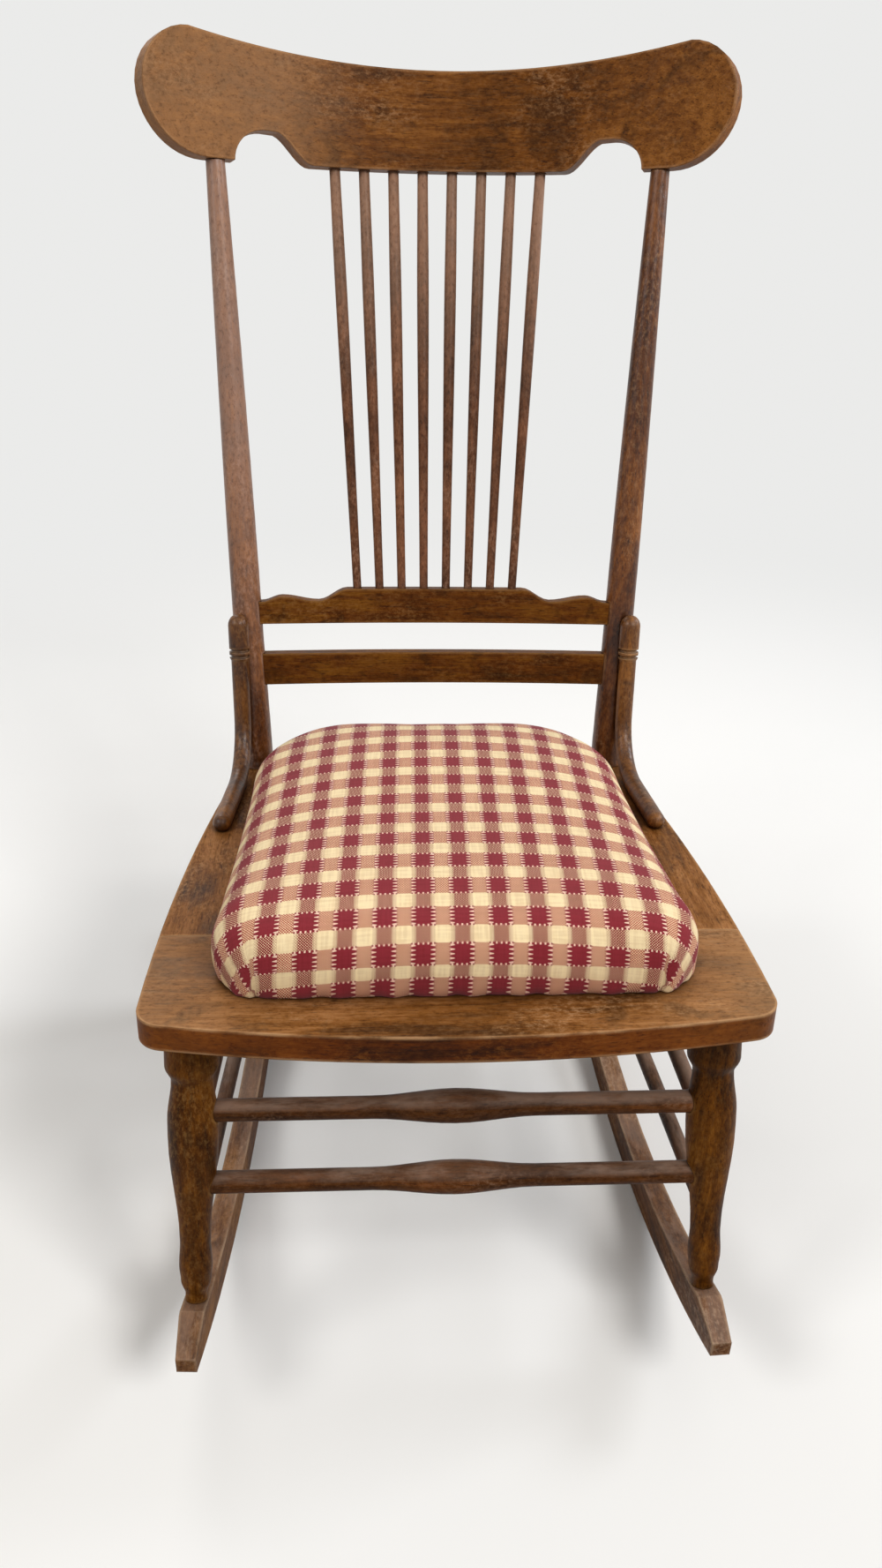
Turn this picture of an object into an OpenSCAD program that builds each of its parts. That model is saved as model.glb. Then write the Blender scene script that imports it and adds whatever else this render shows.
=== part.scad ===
// Armless spindle-back rocker of about 1900: a yoke crest on two turned posts, eight
// spindles, a boarded seat frame with a padded slip seat, and two curved runners.
// X runs to the right as seen from the front, Y runs backwards and Z up, in millimetres.
// The origin is on the floor, midway between the ends of the runners.

/* [Runners] */
// Distance from the runner's lowest point forward to its nose
nose_y = 337; // [325:1:350]
// Distance from the runner's lowest point back to its tail
tail_y = 353; // [340:1:400]
// Radius of the curve that rolls on the floor
rocker_r = 830; // [780:5:1000]
// Depth of the runner board
rocker_h = 32; // [28:1:44]
// Thickness of the runner board
rocker_t = 20; // [18:1:26]
// Distance from the runner's lowest point forward to the front feet
front_foot_y = 277; // [265:1:287]
// Distance from the runner's lowest point back to the rear feet
rear_foot_y = 208; // [180:1:230]
// How far the front feet stand out beyond the tops of the front legs
foot_out = 7; // [-2:1:16]
// How far the rear feet stand out beyond the posts
rear_foot_out = 2.5; // [-4:0.5:9]
// Length of the sloped nose in front of the front foot
nose_len = 42; // [30:1:46]
// Length of the tapered tail
tail_len = 90; // [50:5:110]
// Depth of the board left at its two ends
tip_h = 14; // [10:1:20]
// How much the nose narrows towards its end
nose_taper = 4; // [2:0.5:8]

/* [Seat frame] */
// Width of the seat across its front corners
seat_w = 472; // [450:2:500]
// Width of the seat along its rear edge
seat_rear_w = 394; // [384:2:410]
// Depth of the seat from its front corners to its rear edge
seat_depth = 426; // [410:1:440]
// Height of the seat's top at the front corners
seat_h = 364; // [350:1:390]
// Distance from the runner's lowest point forward to the seat's front corners
seat_y = 254; // [248:1:260]
// Backward slope of the seat in degrees
seat_tilt = 3.4; // [1:0.1:6]
// Thickness of the seat frame
seat_t = 22; // [20:1:28]
// How far the front edge bows forward at its middle
seat_bow = 40; // [30:1:46]
// How far that bow has fallen back at the rounded corners
bow_fall = 21; // [16:1:25]
// Radius of the rounded front corners
seat_corner_r = 22; // [14:1:24]
// Distance from the front corners back to the seam behind the front rail
seam_y = 98; // [90:1:110]
// Depth of the rear rail
back_rail_w = 56; // [45:1:65]

/* [Slip seat] */
// How far the padded seat's sides lie in from the seat's front corners
pad_side_in = 50; // [46:1:54]
// How far its sides lie in from the seat's rear corners
pad_rear_in = 20; // [17:1:24]
// Where the padded seat starts behind the front corners
cushion_front = 4; // [0:1:14]
// Where the padded seat ends in front of the seat's rear edge
cushion_back = 32; // [22:1:38]
// Radius of its front corners
cushion_front_r = 50; // [40:1:60]
// Radius of its rear corners
cushion_rear_r = 84; // [75:1:95]
// Height of the padding's crown above the frame
cushion_h = 68; // [60:1:72]
// How much thicker the padding is at the rear than at its middle, as a share
cushion_wedge_share = 0.1; // [0:0.01:0.12]
// Thickness of the plywood under the padding
ply_t = 8; // [6:1:10]
// How far the plywood stays inside the padding's edge
ply_in = 16; // [12:1:20]
// How far the plywood lies over the side rails
ply_rest = 12; // [9:1:15]

/* [Front legs] */
// How far the tops of the front legs stand in from the seat's front corners
leg_in = 33; // [30:1:41]
// Distance from the front corners back to the tops of the front legs
leg_set = 37; // [32:1:44]
// Radius of the flared collar under the seat
leg_collar_r = 21; // [19.5:0.5:23]
// Radius of the neck below the collar
leg_neck_r = 16.2; // [15:0.2:17]
// Radius of the leg at its fullest
leg_body_r = 19.8; // [18.5:0.1:21]
// Radius of the leg above the ankle ring
leg_ankle_r = 12.3; // [11.5:0.1:12.7]
// Radius of the ankle ring
leg_ring_r = 13.4; // [13:0.1:15]
// Radius of the foot where it meets the runner
leg_foot_r = 8.8; // [8.2:0.1:9.4]
// Diameter of the tenon in the seat
leg_tenon_d = 20; // [16:1:22]
// Length of the tenon in the seat
leg_tenon_l = 14; // [10:1:16]
// Diameter of the tenon in the runner
foot_tenon_d = 11; // [9:0.5:13]
// Length of the tenon in the runner
foot_tenon_l = 17; // [12:1:20]

/* [Back posts] */
// How far the posts stand in from the seat's rear corners
post_in = 14.5; // [13:0.5:19]
// Half the distance between the posts at the crest
post_top_x = 202; // [198:1:208]
// How far the middle of the posts stands behind the seat's rear edge
post_out = 4; // [2:1:8]
// Height of the crest's lower edge above the seat, along the posts
post_len = 566; // [520:2:600]
// Backward lean of the posts in degrees
post_lean = 10.7; // [8:0.1:13]
// Radius of a post at the seat
post_r = 16; // [15:0.5:18]
// Radius of a post behind the lower back rail
post_mid_r = 14.6; // [14:0.1:15.5]
// Radius of a post under the crest
post_top_r = 8.6; // [8:0.1:10]
// Radius of a rear leg at the runner
rear_foot_r = 10.5; // [9:0.5:11]
// Diameter of the tenon in the crest
crest_tenon_d = 11; // [9:0.5:13]
// Length of the tenon in the crest
crest_tenon_l = 24; // [16:1:30]

/* [Crest rail] */
// Radius of the bent board, at its front face
crest_bend_r = 450; // [400:10:700]
// Thickness of the board
crest_t = 20; // [18:1:24]
// Height of the board at its middle
crest_mid_h = 83; // [76:1:92]
// Height of the board at its ears
crest_ear_h = 101; // [96:1:108]
// Angle round the bend from the middle to the middle of an ear
ear_angle = 28.8; // [27.5:0.1:29.5]
// Radius of the upper round of an ear
ear_r = 46; // [43:1:48]
// Radius of the lower round of an ear
ear_low_r = 60; // [54:1:64]
// Angle round the bend from the middle to a notch
notch_angle = 19.4; // [18:0.1:20]
// Height of a notch
notch_h = 26; // [18:1:32]
// Width of a notch at the crest's lower edge
notch_w = 74; // [66:1:78]

/* [Back rails] */
// Thickness of both back rails
rail_t = 16; // [12:1:18]
// How far the rails bow backwards at their middle
rail_bow = 10; // [6:1:16]
// Height of the waist rail's lower edge above the seat, along the posts
waist_z = 85; // [70:1:95]
// Height of the waist rail itself
waist_h = 31.5; // [24:0.5:36]
// Height of the lower rail's lower edge above the seat, along the posts
lower_z = 147; // [135:1:160]
// Height of the lower rail at its raised middle
lower_mid_h = 34; // [28:1:44]
// Height of the lower rail at its ends
lower_end_h = 22; // [18:1:26]
// Half the width of the raised middle
lower_mid_x = 88; // [84:1:100]
// How deep both rails are let into the posts
rail_in = 10; // [6:1:12]

/* [Spindles] */
// Number of spindles
spindle_n = 8; // [5:1:8]
// Distance between spindles at the lower rail
spindle_pitch = 22.3; // [20:0.1:23]
// Angle between spindles round the crest's bend in degrees
spindle_angle = 3.45; // [3:0.05:3.6]
// Radius of a spindle at its fullest
spindle_r = 5.7; // [5:0.1:6.5]
// Radius of a spindle at its lower end
spindle_low_r = 4.2; // [3.5:0.1:4.8]
// How deep a spindle is let into the crest and the rail
spindle_in = 12; // [8:1:16]

/* [Stretchers] */
// Radius of a front stretcher at its ends
front_str_r = 9; // [8:0.1:9.5]
// Radius of a front stretcher's swelling
front_str_mid_r = 13.6; // [11:0.1:15]
// Half the length of that swelling
front_str_swell = 66; // [50:1:80]
// Radius of a side stretcher
side_str_r = 7; // [6:0.1:7.5]
// Radius of the rear stretcher at its ends
rear_str_r = 8; // [7:0.1:8.5]

/* [Hip braces] */
// Radius of the bent rod
brace_r = 8.5; // [7.5:0.1:9.5]
// Radius of the turned head at the rod's upper end
brace_head_r = 10; // [9.5:0.1:11]
// Radius of the rod's bend above the seat
brace_bend_r = 58; // [40:1:62]
// Height of the rod's upper end above the seat, along the post
brace_top = 149; // [140:1:158]
// How far in front of the post the rod ends
brace_reach = 158; // [146:1:168]
// How far the rod's end lies in from the seat's edge beside it
brace_in = 16; // [14:1:22]

/* [Hidden] */
$fn = 64;
// Clearance all round a tenon in its socket
fit = 0.15;
// Gap left past the end of a tenon, and where a curved face meets a flat one
end_gap = 0.4;
// How far a cutting shape runs past what it cuts
over = 1;
// A slab that is larger than the seat
slab = 700;
// Side pieces lie at 1 on the right and -1 on the left
RIGHT = 1;
LEFT = -1;

wood_dark = "#5b3417";
wood_mid = "#70431f";
wood_gold = "#86552a";
cloth = "#b5646a";
steel = "#6f6a62";

SPINDLES = [for (i = [1 : spindle_n]) str("spindle_", i)];

// Vectors
function unit(v) = v / norm(v);
function mix(a, b, share) = a + (b - a) * share;

// A smooth run through [place, radius] stations: each stretch is half a cosine wave
curve_steps = 6;
function wave(a, b, share) = mix(a, b, (1 - cos(180 * share)) / 2);
function smooth(st) = concat(
    [for (i = [0 : len(st) - 2], k = [0 : curve_steps - 1])
        [mix(st[i][0], st[i + 1][0], k / curve_steps),
         wave(st[i][1], st[i + 1][1], k / curve_steps)]],
    [st[len(st) - 1]]);

// Points along an arc round c, from angle a0 to a1
function arc(c, r, a0, a1, n) = [for (k = [0 : n])
    let (a = mix(a0, a1, k / n))
    c + r * [cos(a), sin(a)]];
function mirrored(pts) = [for (i = [len(pts) - 1 : -1 : 0]) [-pts[i][0], pts[i][1]]];
corner_n = 10;
arc_n = 12;

// Faces of a skin over rings of n points, stacked in order, whose two end points follow
function skin(rings, n) = concat(
    [for (k = [0 : rings - 2], i = [0 : n - 1])
        let (j = (i + 1) % n, a = k * n, b = a + n)
        each [[a + i, b + i, b + j], [a + i, b + j, a + j]]],
    [for (i = [0 : n - 1]) [i, (i + 1) % n, rings * n]],
    [for (i = [0 : n - 1])
        let (a = (rings - 1) * n)
        [a + (i + 1) % n, a + i, rings * n + 1]]);

// Runs the local z axis from p towards q
module from_to(p, q) {
    d = q - p;
    translate(p)
        rotate([0, acos(d[2] / norm(d)), atan2(d[1], d[0])])
            children();
}

// A turned piece along the local z axis, from points of [place, radius]
module turned(pts) {
    rotate_extrude()
        polygon(concat([[0, pts[0][0]]], [for (p = pts) [p[1], p[0]]],
            [[0, pts[len(pts) - 1][0]]]));
}

// Places on the chair
cushion_half_w = seat_w / 2 - pad_side_in;
cushion_rear_w = seat_rear_w / 2 - pad_rear_in;
cushion_rear = seat_depth - cushion_back;
pad_side_front = cushion_front + cushion_front_r;
pad_side_rear = cushion_rear - cushion_rear_r;
function pad_line_x(y) = mix(cushion_half_w, cushion_rear_w,
    (y - pad_side_front) / (pad_side_rear - pad_side_front));
leg_top_x = seat_w / 2 - leg_in;
post_x = seat_rear_w / 2 - post_in;
post_set = seat_depth + post_out;
front_foot_x = leg_top_x + foot_out;
rear_foot_x = post_x + rear_foot_out;

// The runners stand on edge and draw together towards the back
rocker_toe = atan((front_foot_x - rear_foot_x) / (front_foot_y + rear_foot_y));
rocker_mid_x = front_foot_x - front_foot_y * tan(rocker_toe);
low_y = (nose_y - tail_y) / 2;
function rocker_x(y) = rocker_mid_x - y * tan(rocker_toe);
function rocker_top(y) = rocker_r
    - sqrt(pow(rocker_r - rocker_h, 2) - pow(y / cos(rocker_toe), 2));
// The middle of the runner's top edge, at y from its lowest point
function foot(y, side) = [side * rocker_x(y), low_y + y, rocker_top(y)];

// The seat's own frame starts at the middle of its front corners, on its top face
seat_origin = [0, low_y - seat_y, seat_h];
seat_normal = [0, sin(seat_tilt), cos(seat_tilt)];
seat_back = [0, cos(seat_tilt), -sin(seat_tilt)];
function seat_pt(x, y, z) = seat_origin + [x, 0, 0] + seat_back * y + seat_normal * z;
module on_seat() {
    translate(seat_origin)
        rotate([-seat_tilt, 0, 0])
            children();
}

// The back's own frame starts between the posts, on the seat's top face
back_origin = seat_pt(0, post_set, 0);
back_up = [0, sin(post_lean), cos(post_lean)];
back_rear = [0, cos(post_lean), -sin(post_lean)];
function back_pt(x, y, z) = back_origin + [x, 0, 0] + back_rear * y + back_up * z;
module on_back() {
    translate(back_origin)
        rotate([-post_lean, 0, 0])
            children();
}
function post_x_at(z) = mix(post_x, post_top_x, z / post_len);

// Front leg: its axis, and its outline as shares of its length
function leg_top(side) = seat_pt(side * leg_top_x, leg_set, -seat_t);
function leg_foot(side) = foot(-front_foot_y, side);
leg_len = norm(leg_foot(RIGHT) - leg_top(RIGHT));
function leg_pt(side, share) = mix(leg_top(side), leg_foot(side), share);
leg_shares = [0.19, 0.238, 0.37, 0.42, 0.79, 0.875, 0.925, 0.975];
leg_stations = [
    [-leg_tenon_l / 2, leg_collar_r],
    [leg_shares[0] * leg_len, leg_collar_r],
    [leg_shares[1] * leg_len, leg_neck_r],
    [leg_shares[2] * leg_len, leg_body_r],
    [leg_shares[3] * leg_len, leg_body_r],
    [leg_shares[4] * leg_len, leg_ankle_r],
    [leg_shares[5] * leg_len, leg_ring_r],
    [leg_shares[6] * leg_len, leg_ankle_r],
    [leg_shares[7] * leg_len, leg_foot_r],
    [leg_len + foot_tenon_l / 2, leg_foot_r]];

// Rear leg: the post goes on down to the runner from its bend at the seat
function post_base(side) = back_pt(side * post_x, 0, 0);
function post_head(side) = back_pt(side * post_top_x, 0, post_len);
function rear_foot(side) = foot(rear_foot_y, side);
rear_len = norm(rear_foot(RIGHT) - post_base(RIGHT));
function rear_pt(side, share) = mix(post_base(side), rear_foot(side), share);
rear_shares = [0.25, 0.9];
// How much fuller than the post its bend at the seat is
knee = 0.8;
// Above the lower rail a post narrows ever faster towards its top
taper_n = 8;
taper_power = 1.6;

// Heights of the stretchers, as shares of the legs' lengths
front_upper_share = 0.347;
front_lower_share = 0.59;
side_upper_share = 0.47;
side_lower_share = 0.735;
rear_upper_share = 0.42;
rear_lower_share = 0.77;
rear_str_share = 0.6;
// How far short of a leg's axis a stretcher's end stops
str_stop = 4;

// The runners: one board each, sawn to a curve, with a sloped nose and a tapered tail.
// Here the lowest point is the origin and lengths run along the board.
front_len = nose_y / cos(rocker_toe);
rear_run = tail_y / cos(rocker_toe);
function arc_z(r, s) = rocker_r - sqrt(r * r - s * s);
inner_r = rocker_r - rocker_h;
// Where an end's slope cut runs: from the tip, past the board's top edge
slope_lap = 0.2;
function slope_cut(end, length) =
    let (tip = [end, arc_z(rocker_r, end) + tip_h],
         start = [end - length, arc_z(inner_r, end - length)],
         out = tip + [over, 0], back = mix(tip, start, 1 + slope_lap))
    [out, tip, back, [back[0], rocker_r], [out[0], rocker_r]];
module rocker_outline() {
    difference() {
        intersection() {
            translate([0, rocker_r])
                circle(rocker_r, $fn = 360);
            translate([-front_len, -over])
                square([front_len + rear_run, rocker_r]);
        }
        translate([0, rocker_r])
            circle(inner_r, $fn = 360);
        polygon(mirrored(slope_cut(front_len, nose_len)));
        polygon(slope_cut(rear_run, tail_len));
    }
}

// The nose's side taper, from its tip at 0 to where it meets the outer face at 1
taper_share = 0.9;
taper_lap = 0.2;
function taper_x(t) = rocker_t / 2 - nose_taper * (1 - t);
function taper_y(t) = taper_share * nose_len * t - front_len;

module rocker_board(side) {
    translate([side * rocker_mid_x, low_y, 0])
        rotate([0, 0, side * rocker_toe])
            difference() {
                rotate([90, 0, 90])
                    linear_extrude(rocker_t, center = true)
                        rocker_outline();
                // The outer face runs in a little at the nose
                translate([0, 0, -over])
                    linear_extrude(rocker_r)
                        polygon([[side * taper_x(-taper_lap), taper_y(-taper_lap)],
                            [side * taper_x(1 + taper_lap), taper_y(1 + taper_lap)],
                            [side * rocker_t, taper_y(1 + taper_lap)],
                            [side * rocker_t, taper_y(-taper_lap)]]);
            }
}

module rocker(side) {
    color(wood_mid)
        difference() {
            rocker_board(side);
            for (ends = [[leg_foot(side), leg_top(side)], [rear_foot(side), post_base(side)]])
                from_to(ends[0], ends[1])
                    translate([0, 0, -foot_tenon_l - end_gap])
                        cylinder(d = foot_tenon_d + 2 * fit, h = 2 * foot_tenon_l);
        }
}

// A rod between two points, cut short of both, with its radii at the ends and the middle
module rod(p, q, stop, r_end, r_mid, swell) {
    length = norm(q - p);
    from_to(p, q)
        turned(smooth([[stop, r_end], [length / 2 - swell, r_end], [length / 2, r_mid],
            [length / 2 + swell, r_end], [length - stop, r_end]]));
}

// The hole for such a rod's end at p
module rod_socket(p, q, r) {
    from_to(p, q)
        translate([0, 0, str_stop - end_gap])
            cylinder(r = r + fit, h = norm(q - p) / 4);
}

module front_leg(side) {
    color(wood_dark)
        difference() {
            union() {
                difference() {
                    from_to(leg_top(side), leg_foot(side))
                        turned(smooth(leg_stations));
                    on_seat()
                        translate([-slab / 2, -slab / 2, -seat_t])
                            cube([slab, slab, slab]);
                    rocker_board(side);
                }
                from_to(leg_top(side), leg_foot(side)) {
                    translate([0, 0, -leg_tenon_l])
                        cylinder(d = leg_tenon_d, h = 2 * leg_tenon_l);
                    translate([0, 0, leg_len - foot_tenon_l])
                        cylinder(d = foot_tenon_d, h = 2 * foot_tenon_l);
                }
            }
            for (share = [front_upper_share, front_lower_share])
                rod_socket(leg_pt(side, share), leg_pt(-side, share), front_str_r);
            rod_socket(leg_pt(side, side_upper_share), rear_pt(side, rear_upper_share),
                side_str_r);
            rod_socket(leg_pt(side, side_lower_share), rear_pt(side, rear_lower_share),
                side_str_r);
        }
}

// Back posts: turned and tapered above the seat, bent there, and plain rear legs below
module post_blank(side) {
    axis = post_head(side) - post_base(side);
    length = norm(axis);
    from_to(post_base(side), post_head(side))
        turned(concat(smooth([[0, post_r], [lower_z, post_mid_r]]),
            [for (k = [1 : taper_n])
                [mix(lower_z, length - end_gap, k / taper_n),
                    mix(post_mid_r, post_top_r, pow(k / taper_n, taper_power))]]));
    translate(post_base(side))
        sphere(post_r + knee);
    from_to(post_base(side), rear_foot(side))
        turned(smooth([[0, post_r], [rear_shares[0] * rear_len, post_r],
            [rear_shares[1] * rear_len, rear_foot_r],
            [rear_len + foot_tenon_l / 2, rear_foot_r]]));
}

module back_post(side) {
    color(wood_dark)
        difference() {
            union() {
                difference() {
                    post_blank(side);
                    rocker_board(side);
                }
                from_to(post_base(side), rear_foot(side))
                    translate([0, 0, rear_len - foot_tenon_l])
                        cylinder(d = foot_tenon_d, h = 2 * foot_tenon_l);
                from_to(post_head(side), post_base(side))
                    translate([0, 0, -crest_tenon_l])
                        cylinder(d = crest_tenon_d, h = 2 * crest_tenon_l);
            }
            on_seat()
                translate([-slab / 2, seat_depth + fit - slab, -seat_t - fit])
                    cube([slab, slab, seat_t + 2 * fit]);
            rail_stock(waist_z - fit, waist_h + 2 * fit, rail_half(waist_z) + end_gap, fit);
            rail_stock(lower_z - fit, lower_end_h + 2 * fit, rail_half(lower_z) + end_gap,
                fit);
            rod_socket(rear_pt(side, rear_upper_share), leg_pt(side, side_upper_share),
                side_str_r);
            rod_socket(rear_pt(side, rear_lower_share), leg_pt(side, side_lower_share),
                side_str_r);
            rod_socket(rear_pt(side, rear_str_share), rear_pt(-side, rear_str_share),
                rear_str_r);
            screw_hole(seat_screw(side));
            screw_hole(brace_top_screw(side));
            pin_hole(side);
        }
}

// Seat frame: one outline, sawn into a front rail, two side rails and a rear rail
corner_x = seat_w / 2 - seat_corner_r;
bow_drop = seat_bow - bow_fall;
bow_r = (corner_x * corner_x + bow_drop * bow_drop) / (2 * bow_drop);
corner_y = bow_r - seat_bow - sqrt(pow(bow_r - seat_corner_r, 2) - corner_x * corner_x);
bow_angle = atan2(corner_x, bow_r - seat_bow - corner_y);
side_sag = (seat_w - seat_rear_w) / 2;
side_len = seat_depth - corner_y;
side_r = (side_len * side_len + side_sag * side_sag) / (2 * side_sag);
side_angle = asin(side_len / side_r);
half_outline = concat(
    arc([0, bow_r - seat_bow], bow_r, -90, bow_angle - 90, arc_n),
    arc([corner_x, corner_y], seat_corner_r, bow_angle - 90, 0, corner_n),
    arc([seat_w / 2 - side_r, corner_y], side_r, 0, side_angle, arc_n));

function seat_edge_x(y) = seat_w / 2 - side_r * (1 - sqrt(1 - pow((y - corner_y) / side_r, 2)));

module seat_outline() {
    polygon(concat(half_outline, mirrored(half_outline)));
}

module seat_slice(y0, y1) {
    intersection() {
        seat_outline();
        translate([-seat_w, y0])
            square([2 * seat_w, y1 - y0]);
    }
}

// The seat's opening narrows towards the back like its outer edge
function open_x(y) = pad_line_x(y) - ply_in - ply_rest;
open_front_x = open_x(seam_y);
open_rear_x = open_x(seat_depth);
open_rear_y = seat_depth - back_rail_w;
side_rail_w = seat_w / 2 - open_front_x;
module opening_outline(y0, y1) {
    x0 = mix(open_front_x, open_rear_x, (y0 - seam_y) / (seat_depth - seam_y));
    x1 = mix(open_front_x, open_rear_x, (y1 - seam_y) / (seat_depth - seam_y));
    polygon([[-x0, y0], [x0, y0], [x1, y1], [-x1, y1]]);
}

// Tongues that hold the frame's corners: half as wide as the rails that carry them
tongue_l = 22;
rear_tongue_share = 0.55;
rear_tongue_l = rear_tongue_share * (post_x - open_rear_x);
tongue_t = seat_t / 3;
module front_tongue(side, clear) {
    translate([side * (seat_w / 2 - side_rail_w / 2), seam_y, -seat_t / 2])
        cube([side_rail_w / 2 + 2 * clear, 2 * (tongue_l + clear), tongue_t + 2 * clear],
            center = true);
}
module rear_tongue(side, clear) {
    translate([side * open_rear_x, seat_depth - back_rail_w / 2, -seat_t / 2])
        cube([2 * (rear_tongue_l + clear), back_rail_w / 2 + 2 * clear, tongue_t + 2 * clear],
            center = true);
}

module frame_board(y0, y1) {
    translate([0, 0, -seat_t])
        linear_extrude(seat_t)
            seat_slice(y0, y1);
}

module seat_front_rail() {
    color(wood_gold)
        difference() {
            on_seat()
                difference() {
                    frame_board(-seat_bow, seam_y);
                    for (side = [LEFT, RIGHT])
                        front_tongue(side, fit);
                }
            for (side = [LEFT, RIGHT])
                from_to(leg_top(side), leg_foot(side))
                    translate([0, 0, -leg_tenon_l - end_gap])
                        cylinder(d = leg_tenon_d + 2 * fit, h = 2 * leg_tenon_l);
        }
}

module seat_side_rail(side) {
    color(wood_gold)
        difference() {
            on_seat() {
                difference() {
                    intersection() {
                        frame_board(seam_y, seat_depth);
                        translate([side * slab / 2, 0, 0])
                            cube([slab, 2 * slab, slab], center = true);
                    }
                    translate([0, 0, -seat_t - over])
                        linear_extrude(seat_t + 2 * over)
                            opening_outline(seam_y - over, seat_depth + over);
                    rear_tongue(side, fit);
                    board_screw_holes();
                }
                intersection() {
                    front_tongue(side, 0);
                    translate([-slab / 2, seam_y - slab, -seat_t])
                        cube([slab, slab + over, seat_t]);
                }
            }
            screw_hole(brace_tip_screw(side));
            screw_hole(seat_screw(side));
        }
}

module seat_back_rail() {
    color(wood_gold)
        on_seat()
            difference() {
                union() {
                    translate([0, 0, -seat_t])
                        linear_extrude(seat_t)
                            opening_outline(open_rear_y, seat_depth);
                    for (side = [LEFT, RIGHT])
                        rear_tongue(side, 0);
                }
                board_screw_holes();
            }
}

// Slip seat: a padded plywood panel, laid on the frame and screwed from below.
// Its sides draw in a little between the corners.
side_draw = 2;
cushion_mid = (cushion_front + cushion_rear) / 2;
edge_n = 3;
function pad_side(t) = [mix(cushion_half_w, cushion_rear_w, t) - side_draw * sin(180 * t),
    mix(pad_side_front, pad_side_rear, t)];
pad_half = concat(
    [for (k = [0 : edge_n - 1])
        [(cushion_half_w - cushion_front_r) * k / edge_n, cushion_front]],
    arc([cushion_half_w - cushion_front_r, cushion_front + cushion_front_r],
        cushion_front_r, -90, 0, corner_n),
    [for (k = [1 : edge_n]) pad_side(k / (edge_n + 1))],
    arc([cushion_rear_w - cushion_rear_r, cushion_rear - cushion_rear_r],
        cushion_rear_r, 0, 90, corner_n),
    [for (k = [1 : edge_n - 1])
        [(cushion_rear_w - cushion_rear_r) * (1 - k / edge_n), cushion_rear]]);
pad_outline = concat(pad_half, mirrored([for (i = [1 : len(pad_half) - 1]) pad_half[i]]));
ring_n = len(pad_outline);

// Levels of the pad: how far in from the outline, the share of it left, and the height.
// Underneath it is hollowed for the plywood. Outside it bulges out to the rim, rolls
// over, and rises slowly to its crown.
rim_share = 0.39;
rim_in_share = 0.15;
roll_share = 0.48;
roll_angle = 75;
rim_steps = 4;
roll_steps = 5;
crown_shares = [0.88, 0.72, 0.5, 0.25];
rim_h = rim_share * cushion_h;
roll_r = roll_share * cushion_h;
roll_top = rim_h + roll_r * sin(roll_angle);
crown_power = 5;
levels = concat(
    [for (k = [0 : rim_steps])
        [rim_in_share * cushion_h * pow(1 - k / rim_steps, 2), 1, rim_h * k / rim_steps]],
    [for (k = [1 : roll_steps])
        let (a = roll_angle * k / roll_steps)
        [roll_r * (1 - cos(a)), 1, rim_h + roll_r * sin(a)]],
    [for (share = crown_shares)
        [roll_r * (1 - cos(roll_angle)), share,
            roll_top + (cushion_h - roll_top) * (1 - pow(share, crown_power))]]);
// The outline drawn in by a distance, then shrunk to a share of its size
function pad_inset(inset, share) = [for (p = pad_outline)
    let (c = [0, cushion_mid], d = p - c)
    c + d * (1 - inset / norm(d)) * share];
function pad_rise(y) = 1 + cushion_wedge_share * (y - cushion_mid) / (cushion_rear - cushion_mid);
hollow = pad_inset(ply_in - fit, 1);
pad_points = concat(
    [for (z = [ply_t + fit, 0]) each [for (p = hollow) [p[0], p[1], z]]],
    [for (level = levels)
        each [for (p = pad_inset(level[0], level[1])) [p[0], p[1], level[2] * pad_rise(p[1])]]],
    [[0, cushion_mid, ply_t + fit], [0, cushion_mid, cushion_h]]);

module seat_board() {
    color(wood_mid)
        on_seat()
            difference() {
                linear_extrude(ply_t)
                    polygon(pad_inset(ply_in, 1));
                board_screw_holes();
            }
}

module seat_cushion() {
    color(cloth)
        on_seat()
            polyhedron(pad_points, skin(len(levels) + 2, ring_n));
}

// Hip braces: a bent rod screwed to the post and to the seat, with a turned head
brace_flat = 1.6;
brace_low_share = 0.45;
brace_high_share = 0.3;
brace_gap = post_mid_r + brace_head_r + fit;
brace_tip_y = post_set - brace_reach;
brace_tip_x = seat_edge_x(brace_tip_y) - brace_in;
brace_h = brace_r - brace_flat;
function post_at(side, z) = mix(post_base(side), post_head(side), z / post_len);
// Beside the post at height z, a share of the way outwards and the rest forwards
function brace_by(side, z, share) = post_at(side, z)
    + brace_gap * ([side * share, 0, 0] - back_rear * sqrt(1 - share * share));
function brace_start(side) = brace_by(side, 0, brace_low_share);
function brace_dir(side) = unit(brace_by(side, brace_top, brace_high_share)
    - brace_start(side));
function brace_corner(side) =
    let (s = brace_start(side), d = brace_dir(side))
    s + d * (brace_h - (s - seat_origin) * seat_normal) / (d * seat_normal);
function brace_tip(side) = seat_pt(side * brace_tip_x, brace_tip_y, brace_h);
function brace_run(side) = unit(brace_tip(side) - brace_corner(side));
// Rings of the head, measured down from its top
head_dome = 11;
head_len = 32;
groove_w = 3;
groove_d = 2;
brace_n = 24;
brace_steps = 12;

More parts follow.
